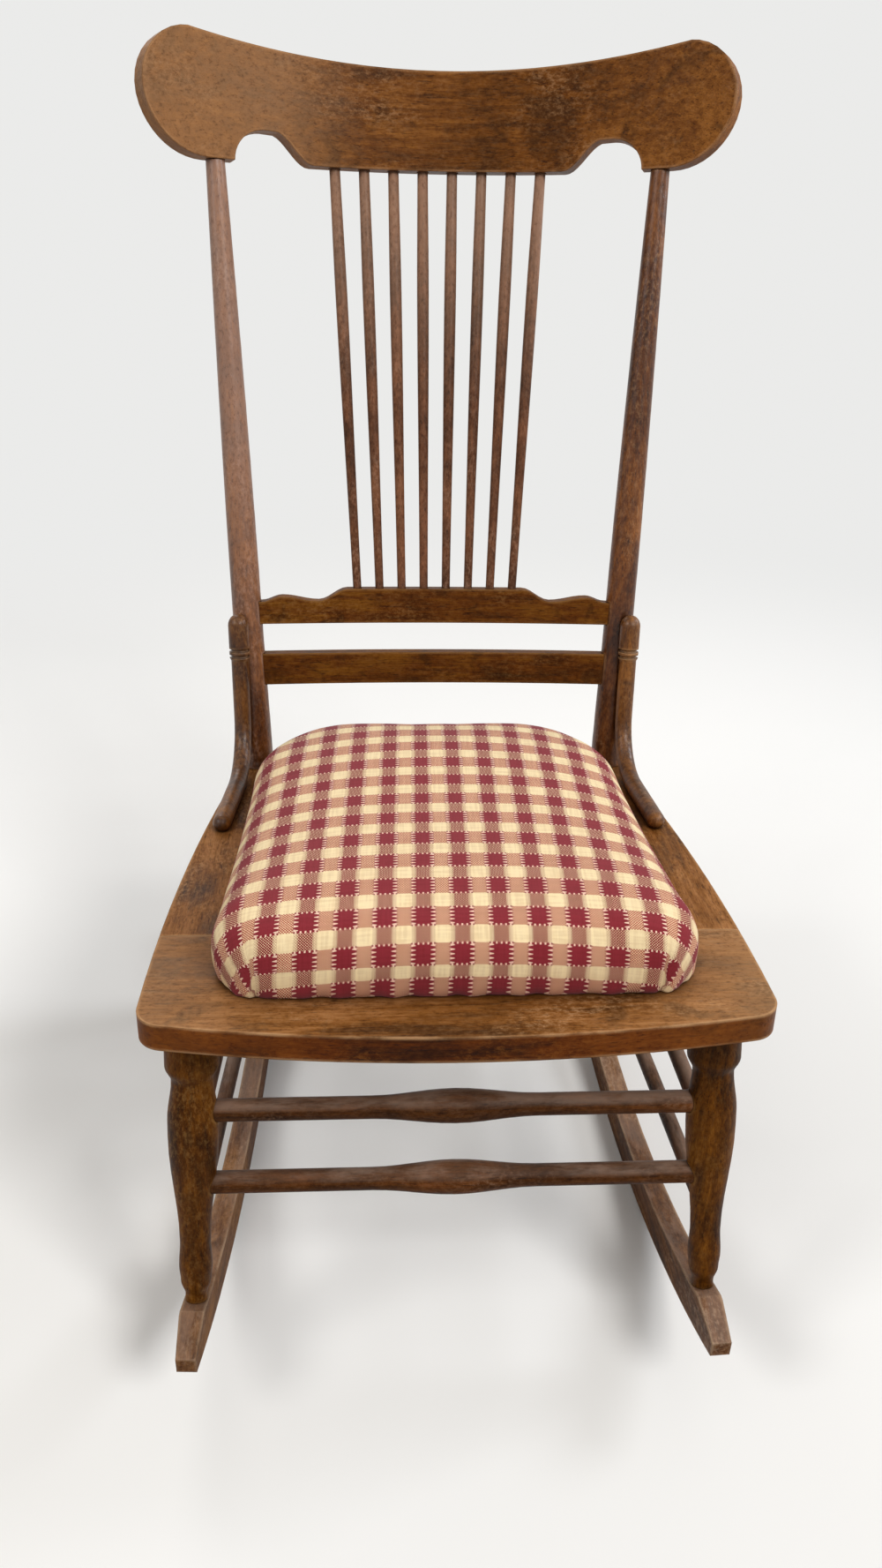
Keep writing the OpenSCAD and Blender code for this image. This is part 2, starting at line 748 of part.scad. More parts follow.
// The rod's route at s below its head: straight down, round the bend, then forward
function brace_turn(side) = acos(-(brace_dir(side) * brace_run(side)));
function brace_leg(side) = brace_bend_r * tan(brace_turn(side) / 2);
function brace_drop(side) = brace_top - (brace_corner(side) - post_base(side)) * back_up
    - brace_leg(side);
function brace_arc(side) = brace_bend_r * brace_turn(side) * PI / 180;
function brace_len(side) = brace_drop(side) + brace_arc(side)
    + norm(brace_tip(side) - brace_corner(side)) - brace_leg(side);
function brace_at(side, s) =
    let (t1 = -brace_dir(side), t2 = brace_run(side), c = brace_corner(side),
         w = unit(t2 - t1 * (t1 * t2)), s1 = brace_drop(side), s2 = s1 + brace_arc(side),
         a = (s - s1) / brace_bend_r * 180 / PI,
         p1 = c - t1 * brace_leg(side), p2 = c + t2 * brace_leg(side))
    s <= s1 ? [p1 + t1 * (s - s1), t1]
    : s >= s2 ? [p2 + t2 * (s - s2), t2]
    : [p1 + brace_bend_r * (w * (1 - cos(a)) + t1 * sin(a)), t1 * cos(a) + w * sin(a)];

function brace_stations(side) =
    let (total = brace_len(side), s1 = brace_drop(side), da = brace_arc(side))
    concat(
        [for (k = [1 : curve_steps])
            let (a = 90 * k / curve_steps)
            [-head_dome * cos(a), brace_head_r * sin(a)]],
        [for (k = [3, 1])
            each [[head_len - k * groove_w, brace_head_r],
                [head_len - k * groove_w, brace_head_r - groove_d],
                [head_len - (k - 1) * groove_w, brace_head_r - groove_d],
                [head_len - (k - 1) * groove_w, brace_head_r]]],
        [[head_len + groove_w, brace_r]],
        [for (k = [0 : brace_steps]) [s1 + da * k / brace_steps, brace_r]],
        [for (k = [0 : curve_steps - 1])
            let (a = 90 * k / curve_steps)
            [total - brace_r * (1 - sin(a)), brace_r * cos(a)]]);

module brace_rod(side) {
    st = brace_stations(side);
    n = unit(cross(-brace_dir(side), brace_run(side)));
    rings = [for (p = st)
        let (at = brace_at(side, p[0]), u = cross(n, at[1]))
        each [for (i = [0 : brace_n - 1])
            at[0] + p[1] * (u * cos(360 * i / brace_n) + n * sin(360 * i / brace_n))]];
    polyhedron(concat(rings, [brace_at(side, -head_dome)[0], brace_tip(side)]),
        skin(len(st), brace_n));
}

module hip_brace(side) {
    color(wood_mid)
        difference() {
            brace_rod(side);
            on_seat()
                translate([-slab / 2, -slab / 2, -slab])
                    cube([slab, 2 * slab, slab]);
            screw_hole(brace_tip_screw(side));
            screw_hole(brace_top_screw(side));
        }
}

// Back rails: bent boards let into the posts
rail_mid_r = (post_x * post_x + rail_bow * rail_bow) / (2 * rail_bow);
function rail_half(z) = post_x_at(z) - post_mid_r + rail_in;
module bent_shell(r, t, z0, h) {
    translate([0, -r, z0])
        difference() {
            cylinder(r = r + t / 2, h = h, $fn = 360);
            translate([0, 0, -over])
                cylinder(r = r - t / 2, h = h + 2 * over, $fn = 360);
        }
}

// A plain rail, or with a clearance the mortises for its ends
module rail_stock(z, h, half, clear) {
    on_back()
        intersection() {
            translate([0, rail_bow, 0])
                bent_shell(rail_mid_r, rail_t + 2 * clear, z, h);
            translate([-half, -slab / 2, z - over])
                cube([2 * half, slab, h + 2 * over]);
        }
}

module waist_rail() {
    color(wood_gold)
        rail_stock(waist_z, waist_h, rail_half(waist_z), 0);
}

// Top line of the lower rail, from its middle out to a post: shares of the span beyond
// the raised middle, and heights as shares of the step up to it
wave_x_shares = [0, 0.34, 0.77, 1];
wave_h_shares = [1, 0, 0.42, 0];
lower_span = rail_half(lower_z) - rail_in - lower_mid_x;
wave_line = smooth([for (i = [0 : len(wave_x_shares) - 1])
    [lower_mid_x + wave_x_shares[i] * lower_span,
     mix(lower_end_h, lower_mid_h, wave_h_shares[i])]]);

module lower_back_rail() {
    half = rail_half(lower_z);
    color(wood_gold)
        difference() {
            intersection() {
                rail_stock(lower_z, lower_mid_h + over, half, 0);
                on_back()
                    translate([0, slab / 2, lower_z])
                        rotate([90, 0, 0])
                            linear_extrude(slab)
                                polygon(concat([[half, 0], [-half, 0]],
                                    [[-half, lower_end_h]], mirrored(wave_line),
                                    wave_line, [[half, lower_end_h]]));
            }
            for (i = [1 : spindle_n])
                spindle_socket(i, false);
        }
}

// Spindles: round sticks that fan out upwards, fullest near the crest
function spindle_k(i) = i - (spindle_n + 1) / 2;
crest_mid_r = crest_bend_r + crest_t / 2;
crest_axis_y = -sqrt(crest_mid_r * crest_mid_r - post_top_x * post_top_x);
function spindle_low(i) =
    let (x = spindle_k(i) * spindle_pitch)
    back_pt(x, rail_bow - rail_mid_r + sqrt(rail_mid_r * rail_mid_r - x * x),
        lower_z + lower_mid_h);
function spindle_high(i) =
    let (a = spindle_k(i) * spindle_angle)
    back_pt(crest_mid_r * sin(a), crest_axis_y + crest_mid_r * cos(a), post_len);
spindle_full_share = 0.72;

module spindle(i) {
    length = norm(spindle_high(i) - spindle_low(i));
    color(wood_mid)
        from_to(spindle_low(i), spindle_high(i))
            turned(smooth([[-spindle_in, spindle_low_r], [0, spindle_low_r],
                [spindle_full_share * length, spindle_r],
                [length + spindle_in, spindle_low_r + (spindle_r - spindle_low_r) / 2]]));
}

module spindle_socket(i, high) {
    length = norm(spindle_high(i) - spindle_low(i));
    if (high)
        from_to(spindle_high(i), spindle_low(i))
            translate([0, 0, -spindle_in - end_gap])
                cylinder(r = spindle_r + fit, h = 2 * spindle_in);
    else
        from_to(spindle_low(i), spindle_high(i))
            translate([0, 0, -spindle_in - end_gap])
                cylinder(r = spindle_low_r + fit, h = 2 * spindle_in);
}

// Crest rail: a yoke-shaped board, bent, with its ears and notches sawn square to its face
valley_x = crest_bend_r * sin(ear_angle);
ear_ease = 0.5;
valley_rise = crest_ear_h - ear_ease - crest_mid_h;
valley_r = (valley_x * valley_x + valley_rise * valley_rise) / (2 * valley_rise);
valley_end = valley_x + 2 * crest_t;
valley_angle = asin(valley_end / valley_r);
valley_line = arc([0, crest_mid_h + valley_r], valley_r, -90 - valley_angle,
    valley_angle - 90, 2 * arc_n);
ear_step = ear_low_r - ear_r;
ear_drop = ear_low_r - (crest_ear_h - ear_r);
ear_shift = sqrt(ear_step * ear_step - ear_drop * ear_drop);
ear_join = -asin(ear_drop / ear_step);

// Places a child outline, drawn in x and height, square to the bend at an angle round it
module round_bend(angle) {
    translate([0, crest_axis_y, post_len])
        rotate([0, 0, -angle])
            translate([0, slab, 0])
                rotate([90, 0, 0])
                    linear_extrude(slab)
                        children();
}

// An ear: a lower round that runs into a smaller upper one
ear_line = concat([[-2 * ear_r, 0]],
    arc([-ear_shift, ear_low_r], ear_low_r, -90, ear_join, corner_n),
    arc([0, crest_ear_h - ear_r], ear_r, ear_join, 90, corner_n),
    [[-2 * ear_r, crest_ear_h]]);

// A notch: steep at the post, round above, and eased down towards the spindles
notch_top_share = 0.24;
notch_line = concat(
    [for (k = [0 : corner_n - 1])
        [mix(-notch_w / 2, 0, k / corner_n), wave(0, notch_h, k / corner_n)]],
    [for (k = [0 : corner_n])
        let (a = 90 * k / corner_n)
        [notch_w / 2 * mix(notch_top_share, 1, sin(a)), notch_h * cos(a)]],
    [[notch_w / 2, -notch_h], [-notch_w / 2, -notch_h]]);

module crest_rail() {
    color(wood_mid)
        difference() {
            on_back()
                difference() {
                    intersection() {
                        translate([0, crest_axis_y + crest_mid_r, 0])
                            bent_shell(crest_mid_r, crest_t, post_len - over,
                                crest_ear_h + 2 * over);
                        union() {
                            for (side = [LEFT, RIGHT])
                                round_bend(side * ear_angle)
                                    polygon([for (p = ear_line) [side * p[0], p[1]]]);
                            round_bend(0)
                                translate([-valley_x + ear_r, 0])
                                    square([2 * (valley_x - ear_r), crest_ear_h]);
                        }
                    }
                    translate([0, slab / 2, post_len])
                        rotate([90, 0, 0])
                            linear_extrude(slab)
                                polygon(concat([[-valley_end, 2 * crest_ear_h]],
                                    valley_line, [[valley_end, 2 * crest_ear_h]]));
                    for (side = [LEFT, RIGHT])
                        round_bend(side * notch_angle)
                            polygon([for (p = notch_line) [side * p[0], p[1]]]);
                }
            for (i = [1 : spindle_n])
                spindle_socket(i, true);
            for (side = [LEFT, RIGHT]) {
                from_to(post_head(side), post_base(side))
                    translate([0, 0, -crest_tenon_l - end_gap])
                        cylinder(d = crest_tenon_d + 2 * fit, h = 2 * crest_tenon_l);
                pin_hole(side);
            }
        }
}

// Fasteners: pins through the crest's tenons, and screws for the braces and the seat
pin_r = 1.6;
pin_share = 0.8;
pin_l = pin_share * crest_t;
function pin_at(side) = post_head(side) + unit(post_head(side) - post_base(side))
    * crest_tenon_l / 2;
module pin_stick(side, r, extra) {
    from_to(pin_at(side) + back_rear * slab, pin_at(side))
        translate([0, 0, slab - pin_l / 2 - extra])
            cylinder(r = r, h = pin_l + extra);
}
module pin_hole(side) {
    pin_stick(side, pin_r + fit / 2, crest_t);
}
module crest_pins() {
    color(steel)
        for (side = [LEFT, RIGHT])
            pin_stick(side, pin_r, 0);
}

// A screw is its head's place, the way it points, its length and its radii
screw_r = 2;
screw_head_r = 4;
screw_head_t = 2.4;
seat_screw_l = 34;
// One comes up through the side rail and one forward through the post, into the rod
function brace_tip_screw(side) =
    let (l = seat_t + brace_h, p = brace_tip(side) - brace_run(side) * 2 * brace_r)
    [p - seat_normal * l, seat_normal, l];
function brace_top_screw(side) =
    let (p = brace_at(side, head_len / 2)[0],
         q = post_at(side, (p - post_base(side)) * back_up),
         d = unit(p - q), sunk = post_mid_r - over)
    [q - d * sunk, d, sunk + norm(p - q)];
function seat_screw(side) =
    let (p = seat_pt(side * post_x, post_set + post_r - over, -seat_t / 2))
    [p, -seat_back, seat_screw_l];

module screw_hole(s) {
    open_l = 3 * screw_head_r;
    from_to(s[0] - s[1] * open_l, s[0]) {
        cylinder(r = screw_head_r + fit / 2, h = open_l + screw_head_t);
        cylinder(r = screw_r + fit / 2, h = open_l + s[2] + end_gap);
    }
}

module screw(s) {
    from_to(s[0], s[0] + s[1] * s[2]) {
        cylinder(r = screw_r, h = s[2]);
        cylinder(r = screw_head_r, h = screw_head_t);
    }
}

module brace_screws() {
    color(steel)
        for (side = [LEFT, RIGHT]) {
            screw(brace_tip_screw(side));
            screw(brace_top_screw(side));
        }
}

module seat_screws() {
    color(steel)
        for (side = [LEFT, RIGHT])
            screw(seat_screw(side));
}

// Screws that hold the plywood, up through the rails from below
board_screw_y_shares = [0.3, 0.65];
board_screw_share = 0.42;
ply_bite_share = 0.7;
board_screw_l = seat_t + ply_bite_share * ply_t;
function board_screw_places() = [
    for (side = [LEFT, RIGHT], share = board_screw_y_shares)
        let (y = mix(seam_y, open_rear_y, share))
        [side * (open_x(y) + board_screw_share * ply_rest), y]];
module board_screw_holes() {
    for (p = board_screw_places())
        translate([p[0], p[1], -seat_t - over]) {
            cylinder(r = screw_r + fit / 2, h = board_screw_l + over + end_gap);
            cylinder(r = screw_head_r + fit / 2, h = screw_head_t + over);
        }
}
module board_screws() {
    color(steel)
        on_seat()
            for (p = board_screw_places())
                translate([p[0], p[1], -seat_t]) {
                    cylinder(r = screw_r, h = board_screw_l);
                    cylinder(r = screw_head_r, h = screw_head_t);
                }
}

// Stretchers
module front_stretcher(share) {
    color(wood_mid)
        rod(leg_pt(LEFT, share), leg_pt(RIGHT, share), str_stop, front_str_r,
            front_str_mid_r, front_str_swell);
}
module side_stretcher(side, share_f, share_r) {
    p = leg_pt(side, share_f);
    q = rear_pt(side, share_r);
    color(wood_mid)
        from_to(p, q)
            translate([0, 0, str_stop])
                cylinder(r = side_str_r, h = norm(q - p) - 2 * str_stop);
}
module rear_stretcher() {
    color(wood_mid)
        rod(rear_pt(LEFT, rear_str_share), rear_pt(RIGHT, rear_str_share), str_stop,
            rear_str_r, front_str_mid_r - over, front_str_swell);
}

rocker(LEFT);  // rocker_left
rocker(RIGHT);  // rocker_right
front_leg(LEFT);  // front_leg_left
front_leg(RIGHT);  // front_leg_right
back_post(LEFT);  // back_post_left
back_post(RIGHT);  // back_post_right
seat_front_rail();
seat_side_rail(LEFT);  // seat_side_rail_left
seat_side_rail(RIGHT);  // seat_side_rail_right
seat_back_rail();
seat_board();
seat_cushion();
front_stretcher(front_upper_share);  // front_stretcher_upper
front_stretcher(front_lower_share);  // front_stretcher_lower
side_stretcher(LEFT, side_upper_share, rear_upper_share);  // side_stretcher_upper_left
side_stretcher(RIGHT, side_upper_share, rear_upper_share);  // side_stretcher_upper_right
side_stretcher(LEFT, side_lower_share, rear_lower_share);  // side_stretcher_lower_left
side_stretcher(RIGHT, side_lower_share, rear_lower_share);  // side_stretcher_lower_right
rear_stretcher();
hip_brace(LEFT);  // hip_brace_left
hip_brace(RIGHT);  // hip_brace_right
waist_rail();
lower_back_rail();
crest_rail();
crest_pins();
brace_screws();
seat_screws();
board_screws();
for (i = [1 : spindle_n])
    spindle(i);
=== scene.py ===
import math

import bmesh
import bpy
import numpy as np
from mathutils import Matrix, Vector


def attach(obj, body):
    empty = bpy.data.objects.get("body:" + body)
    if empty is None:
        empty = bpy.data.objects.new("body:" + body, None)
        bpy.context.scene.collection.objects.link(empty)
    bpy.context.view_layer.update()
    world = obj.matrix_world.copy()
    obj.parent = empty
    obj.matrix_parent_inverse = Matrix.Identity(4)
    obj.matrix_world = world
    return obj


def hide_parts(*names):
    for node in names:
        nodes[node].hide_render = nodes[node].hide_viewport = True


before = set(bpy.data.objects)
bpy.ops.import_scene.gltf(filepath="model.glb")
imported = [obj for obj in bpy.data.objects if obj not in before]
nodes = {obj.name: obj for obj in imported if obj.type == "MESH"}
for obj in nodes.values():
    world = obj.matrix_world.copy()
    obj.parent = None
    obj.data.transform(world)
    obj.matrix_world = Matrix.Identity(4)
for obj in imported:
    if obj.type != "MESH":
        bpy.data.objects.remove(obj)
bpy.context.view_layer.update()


# Viewpoint. Where the chair is looked at from: at the height of its crest, a good arm's length in
# front of the seat, looking down on it, with the camera tipped a little to one side.
def new_object(name, data):
    """Puts a mesh, light or camera into the scene."""
    made = bpy.data.objects.new(name, data)
    bpy.context.scene.collection.objects.link(made)
    return made


eye = Vector((-0.065, -0.974, 0.942))
turn, stoop, tip = math.radians(3.70), math.radians(28.85), math.radians(1.50)
ahead = Vector(
    (math.sin(turn) * math.cos(stoop), math.cos(turn) * math.cos(stoop), -math.sin(stoop))
)
aside = Vector((math.cos(turn), -math.sin(turn), 0.0))
above = aside.cross(ahead)
view_right = math.cos(tip) * aside + math.sin(tip) * above
view_up = math.cos(tip) * above - math.sin(tip) * aside
viewpoint = new_object("viewpoint", bpy.data.cameras.new("viewpoint"))
viewpoint.data.sensor_width = 36.0
viewpoint.data.lens = 28.28
viewpoint.data.clip_start = 0.05
viewpoint.matrix_world = Matrix.Translation(eye) @ Matrix(
    (view_right, view_up, -ahead)
).transposed().to_4x4()
bpy.context.scene.camera = viewpoint


# Runners. Two boards sawn to a long curve, standing on edge under the feet. They are among the
# most worn pieces: scuffed pale where the old stain is gone, and painted paler on top: dust, and
# a painted sheen.
def colour(code):
    """A paint-chart colour such as 8a5a30, as Blender's linear red, green, blue, 1."""
    parts = [int(code[i : i + 2], 16) / 255 for i in (0, 2, 4)]
    return [p / 12.92 if p < 0.04045 else ((p + 0.055) / 1.055) ** 2.4 for p in parts] + [1]


def empty_material(name):
    """A material with nothing in it yet, and its node tree."""
    made = bpy.data.materials.new(name)
    made.use_nodes = True
    made.node_tree.nodes.clear()
    return made, made.node_tree


def put(tree, kind, inputs=None, **settings):
    """Adds a node to a tree. An input that is a socket is joined, any other is set."""
    made = tree.nodes.new(kind)
    for name, value in settings.items():
        setattr(made, name, value)
    for name, value in (inputs or {}).items():
        if isinstance(value, bpy.types.NodeSocket):
            tree.links.new(value, made.inputs[name])
        else:
            made.inputs[name].default_value = value
    return made


def sums(tree, how, *values):
    """One math node; a value is a number or a socket."""
    return put(tree, "ShaderNodeMath", dict(enumerate(values)), operation=how).outputs[0]


def times(tree, first, second):
    """The product of two numbers or sockets."""
    return sums(tree, "MULTIPLY", first, second)


def fade(tree, value, low, high, to_low=0.0, to_high=1.0):
    """Runs smoothly from to_low to to_high as the value goes from low to high."""
    made = put(tree, "ShaderNodeMapRange", {"Value": value}, interpolation_type="SMOOTHSTEP")
    for i, number in enumerate((low, high, to_low, to_high)):
        made.inputs[i + 1].default_value = number
    return made.outputs["Result"]


def blend(tree, how, amount, first, second):
    """Lays a second colour over a first one."""
    lay = {0: amount, 6: first, 7: second}
    return put(tree, "ShaderNodeMix", lay, data_type="RGBA", blend_type=how).outputs[2]


def ramped(tree, value, stops):
    """A colour that goes from stop to stop with a value. A stop is a place and a colour."""
    made = put(tree, "ShaderNodeValToRGB", {"Fac": value})
    steps = made.color_ramp.elements
    steps[0].position, steps[0].color = stops[0]
    steps[1].position, steps[1].color = stops[-1]
    for place, tint in stops[1:-1]:
        steps.new(place).color = tint
    return made.outputs["Color"]


ALONG_X = (0.0, 0.0, 0.0)
ALONG_Y = (0.0, 0.0, math.radians(90))
UPRIGHT = (0.0, math.radians(-90), 0.0)


def old_wood(
    name,
    tones,
    bare,
    grain,
    wear,
    dull,
    smudge=0.5,
    start=0.0,
    shine=0.18,
    side_shade_and_stain=0.0,
    dust_and_sheen=0.0,
    paler_stretches=(),
):
    """Stained hardwood under a thin old varnish, with its grain along one direction.

    tones are the stain's pale, middle and deep colours, and bare is the wood under it, which
    shows where wear has worn the arrises and scuffed the faces, and is the colour of the paler
    stretches. dull is the varnish's roughness and shine its reflection. smudge is how dark the
    marks of handling are. side_shade_and_stain is how much darker upright faces are painted than
    the top: painted shade, and stain that use hasn't worn off. dust_and_sheen is how much paler
    the upward faces are painted: dust, and a painted sheen. start moves the grain along.
    paler_stretches lists stretches painted paler, which are wear on some pieces and painted light
    on others: the axis that each lies along, where it starts to show, where it is full, and how
    much bare wood colour it lets through."""
    pale, middle, deep = (colour(code) for code in tones)
    bare = colour(bare)
    fibre_shade, pore_dirt, speck_brown = colour("b59a84"), colour("5a4334"), colour("7d6150")
    side_shade_stain, dust_and_sheen_tan, corner_shade = colour("c29c66"), colour("a58a78"), colour("4a3526")
    wood, tree = empty_material(name)
    own = put(tree, "ShaderNodeTexCoord").outputs
    where = own["Object"]
    board = put(
        tree,
        "ShaderNodeMapping",
        {"Vector": where, "Rotation": grain, "Location": (start, start * 0.7, start * 0.3)},
        vector_type="TEXTURE",
    ).outputs[0]

    def grown(stretch, scale, detail, rough=0.6, warp=0.0):
        """Noise that is drawn out along the grain: the smaller stretch is, the longer."""
        pulled = put(tree, "ShaderNodeMapping", {"Vector": board, "Scale": (stretch, 1, 1)})
        return put(
            tree,
            "ShaderNodeTexNoise",
            {
                "Vector": pulled.outputs[0],
                "Scale": scale,
                "Detail": detail,
                "Roughness": rough,
                "Distortion": warp,
            },
        ).outputs["Fac"]

    # The stain: broad patches and fine streaks, with fibres, pores and smudges in it.
    patch = grown(stretch=0.55, scale=13, detail=6, rough=0.62, warp=0.5)
    streak = grown(stretch=0.07, scale=190, detail=4, rough=0.65, warp=0.2)
    fibre = grown(stretch=0.035, scale=1200, detail=2)
    pore = fade(tree, grown(stretch=0.11, scale=620, detail=1.5), 0.60, 0.70)
    stain = fade(tree, grown(stretch=0.8, scale=38, detail=4, rough=0.6, warp=0.6), 0.52, 0.68)
    tone = sums(tree, "ADD", times(tree, patch, 0.62), times(tree, streak, 0.38))
    body = ramped(tree, tone, [(0.38, deep), (0.5, middle), (0.62, pale)])
    body = blend(tree, "MULTIPLY", fade(tree, fibre, 0.35, 0.7, 0.0, 0.5), body, fibre_shade)
    body = blend(tree, "MIX", times(tree, stain, smudge), body, deep)
    body = blend(tree, "MULTIPLY", times(tree, pore, 0.55), body, pore_dirt)

    # Wear on the faces and painted light: paler stretches, which are wear on some pieces and
    # painted light on others, dark specks, and scuffs in some places.
    # Stretches painted paler along one axis: wear on some pieces, painted light on others.
    for axis, pale_from, pale_to, share in paler_stretches:
        place = put(tree, "ShaderNodeSeparateXYZ", {"Vector": where}).outputs[axis]
        body = blend(tree, "MIX", fade(tree, place, pale_from, pale_to, 0.0, share), body, bare)
    speckle = grown(stretch=0.6, scale=300, detail=5, rough=0.78)
    specks = fade(tree, speckle, 0.48, 0.34, 0.0, 0.45)
    body = blend(tree, "MULTIPLY", specks, body, speck_brown)
    in_places = grown(stretch=0.5, scale=17, detail=3)
    scuffed = times(
        tree,
        fade(tree, speckle, 0.46, 0.66),
        fade(tree, in_places, 0.46, 0.66, 0.10, wear * 0.6),
    )
    body = blend(tree, "MIX", scuffed, body, bare)

    # Upright faces are painted darker: painted shade, and stain that use hasn't worn off. The
    # upward faces are painted paler in patches: dust, and a painted sheen.
    upward = put(tree, "ShaderNodeSeparateXYZ", {"Vector": own["Normal"]}).outputs["Z"]
    # Upright faces painted darker: painted shade, and stain that use hasn't worn off.
    upright_shade = fade(tree, upward, 0.85, 0.3, 0.0, side_shade_and_stain)
    body = blend(tree, "MULTIPLY", upright_shade, body, side_shade_stain)
    # Upward faces painted paler in patches: dust, and a painted sheen.
    top_patches = grown(stretch=0.25, scale=34, detail=5, rough=0.7)
    dust_and_sheen_mask = times(
        tree, fade(tree, upward, 0.35, 0.95, 0.0, dust_and_sheen), fade(tree, top_patches, 0.40, 0.58, 0.25, 1.0)
    )
    body = blend(tree, "MIX", dust_and_sheen_mask, body, dust_and_sheen_tan)

    # Arrises are rubbed through to the bare wood, and the inner corners, where the AO node finds
    # other surfaces close, are painted darker: painted shade.
    round_edge = put(tree, "ShaderNodeBevel", {"Radius": 0.0022}, samples=6).outputs[0]
    wide_edge = put(tree, "ShaderNodeBevel", {"Radius": 0.0045}, samples=6).outputs[0]
    flat = put(tree, "ShaderNodeNewGeometry").outputs["Normal"]
    facing = put(
        tree, "ShaderNodeVectorMath", {0: wide_edge, 1: flat}, operation="DOT_PRODUCT"
    ).outputs["Value"]
    here_and_there = fade(tree, grown(stretch=0.5, scale=55, detail=4), 0.36, 0.60, 0.25, 1.0)
    arrises = times(tree, fade(tree, facing, 0.995, 0.90), here_and_there)
    arrises = times(tree, arrises, wear)
    body = blend(tree, "MIX", arrises, body, bare)
    # Inner corners painted darker where the AO node finds surfaces close: painted shade.
    shut_in_shade = put(
        tree, "ShaderNodeAmbientOcclusion", {"Distance": 0.022}, samples=6
    ).outputs["AO"]
    body = blend(tree, "MULTIPLY", fade(tree, shut_in_shade, 0.75, 0.2, 0.0, 0.8), body, corner_shade)

    # The surface: rounded edges, shallow dents, and the feel of the grain under the varnish.
    relief = sums(
        tree,
        "SUBTRACT",
        sums(tree, "ADD", times(tree, fibre, 0.35), streak),
        times(tree, pore, 0.8),
    )
    dent = grown(stretch=0.6, scale=85, detail=2, rough=0.5)
    dents = put(
        tree,
        "ShaderNodeBump",
        {"Strength": 0.5, "Distance": 0.0012, "Height": dent, "Normal": round_edge},
    ).outputs[0]
    skin = put(
        tree,
        "ShaderNodeBump",
        {"Strength": 0.32, "Distance": 0.0005, "Height": relief, "Normal": dents},
    ).outputs[0]
    gloss = sums(
        tree,
        "ADD",
        fade(tree, patch, 0.35, 0.7, dull - 0.09, dull + 0.09),
        times(tree, arrises, 0.05),
    )
    varnish = put(
        tree,
        "ShaderNodeBsdfPrincipled",
        {"Base Color": body, "Roughness": gloss, "Normal": skin, "Specular IOR Level": shine},
    )
    put(tree, "ShaderNodeOutputMaterial", {"Surface": varnish.outputs[0]})
    return wood


def dress(finish, *names):
    """Gives a finish to CAD pieces that keep their own shape."""
    for name in names:
        for place in nodes[name].material_slots:
            place.material = finish


runner_wood = old_wood(
    "runner_wood",
    tones=("95683e", "6e4524", "3c2110"),
    bare="b5977a",
    grain=ALONG_Y,
    wear=0.9,
    dull=0.58,
    shine=0.12,
    dust_and_sheen=0.35,
)
dress(runner_wood, "rocker_left", "rocker_right")

# Front legs. Turned from squares of hardwood, with a flared collar under the seat and a ring
# above the foot, and round tenons at both ends.
leg_wood = old_wood(
    "leg_wood",
    tones=("885519", "62380c", "331904"),
    bare="a67c48",
    grain=UPRIGHT,
    wear=0.55,
    dull=0.5,
    shine=0.07,
)
dress(leg_wood, "front_leg_left", "front_leg_right")

# Back posts. Each is one long turned stick, bent at the seat, that runs from the runner to the
# crest. The left one is painted lighter than the right, with a paler stretch on its upper part:
# painted light and a painted sheen. The right one is painted darker: painted shade.
along_posts = (math.radians(-10.7), math.radians(-90), 0.0)
lit_left_post_wood = old_wood(
    "lit_left_post_wood",
    tones=("965c26", "6d3c13", "3e1d08"),
    bare="c09a84",
    grain=along_posts,
    wear=0.7,
    dull=0.36,
    start=0.4,
    shine=0.45,
    # A paler stretch on the upper part: a painted sheen.
    paler_stretches=[("Z", 0.38, 0.72, 0.42)],
)
# Darker tones than the left post: painted shade.
shaded_right_post_wood = old_wood(
    "shaded_right_post_wood",
    tones=("8c5420", "623510", "361806"),
    bare="b58a62",
    grain=along_posts,
    wear=0.6,
    dull=0.36,
    start=0.6,
    shine=0.35,
)
dress(lit_left_post_wood, "back_post_left")
dress(shaded_right_post_wood, "back_post_right")

# Seat frame. Four boards joined at the corners with tongues. Their tops are worn to a dull tan by
# use, the front one's most of all towards its ends, and their upright faces are painted a deeper
# orange: painted shade, and stain that use hasn't worn off.
seat_tones = ("a87444", "855424", "503013")
seat_front_wood = old_wood(
    "seat_front_wood",
    tones=seat_tones,
    bare="c2966a",
    grain=ALONG_X,
    wear=0.9,
    dull=0.5,
    smudge=0.7,
    shine=0.09,
    # Upright faces painted darker: painted shade, and stain that use hasn't worn off.
    side_shade_and_stain=1.0,
    paler_stretches=[("X", 0.10, 0.24, 0.32), ("X", -0.10, -0.24, 0.22)],
)
seat_side_wood = old_wood(
    "seat_side_wood",
    tones=seat_tones,
    bare="c49462",
    grain=ALONG_Y,
    wear=0.8,
    dull=0.5,
    start=0.9,
    shine=0.09,
    # Upright faces painted darker: painted shade, and stain that use hasn't worn off.
    side_shade_and_stain=1.0,
)
dress(seat_front_wood, "seat_front_rail", "seat_back_rail")
dress(seat_side_wood, "seat_side_rail_left", "seat_side_rail_right")

# Plywood. The panel under the padding: plain birch ply, screwed to the seat frame and seen only
# from below.
ply_wood = old_wood(
    "ply_wood",
    tones=("b99a6d", "a5845a", "846642"),
    bare="c6aa80",
    grain=ALONG_X,
    wear=0.3,
    dull=0.7,
    smudge=0.2,
)
dress(ply_wood, "seat_board")

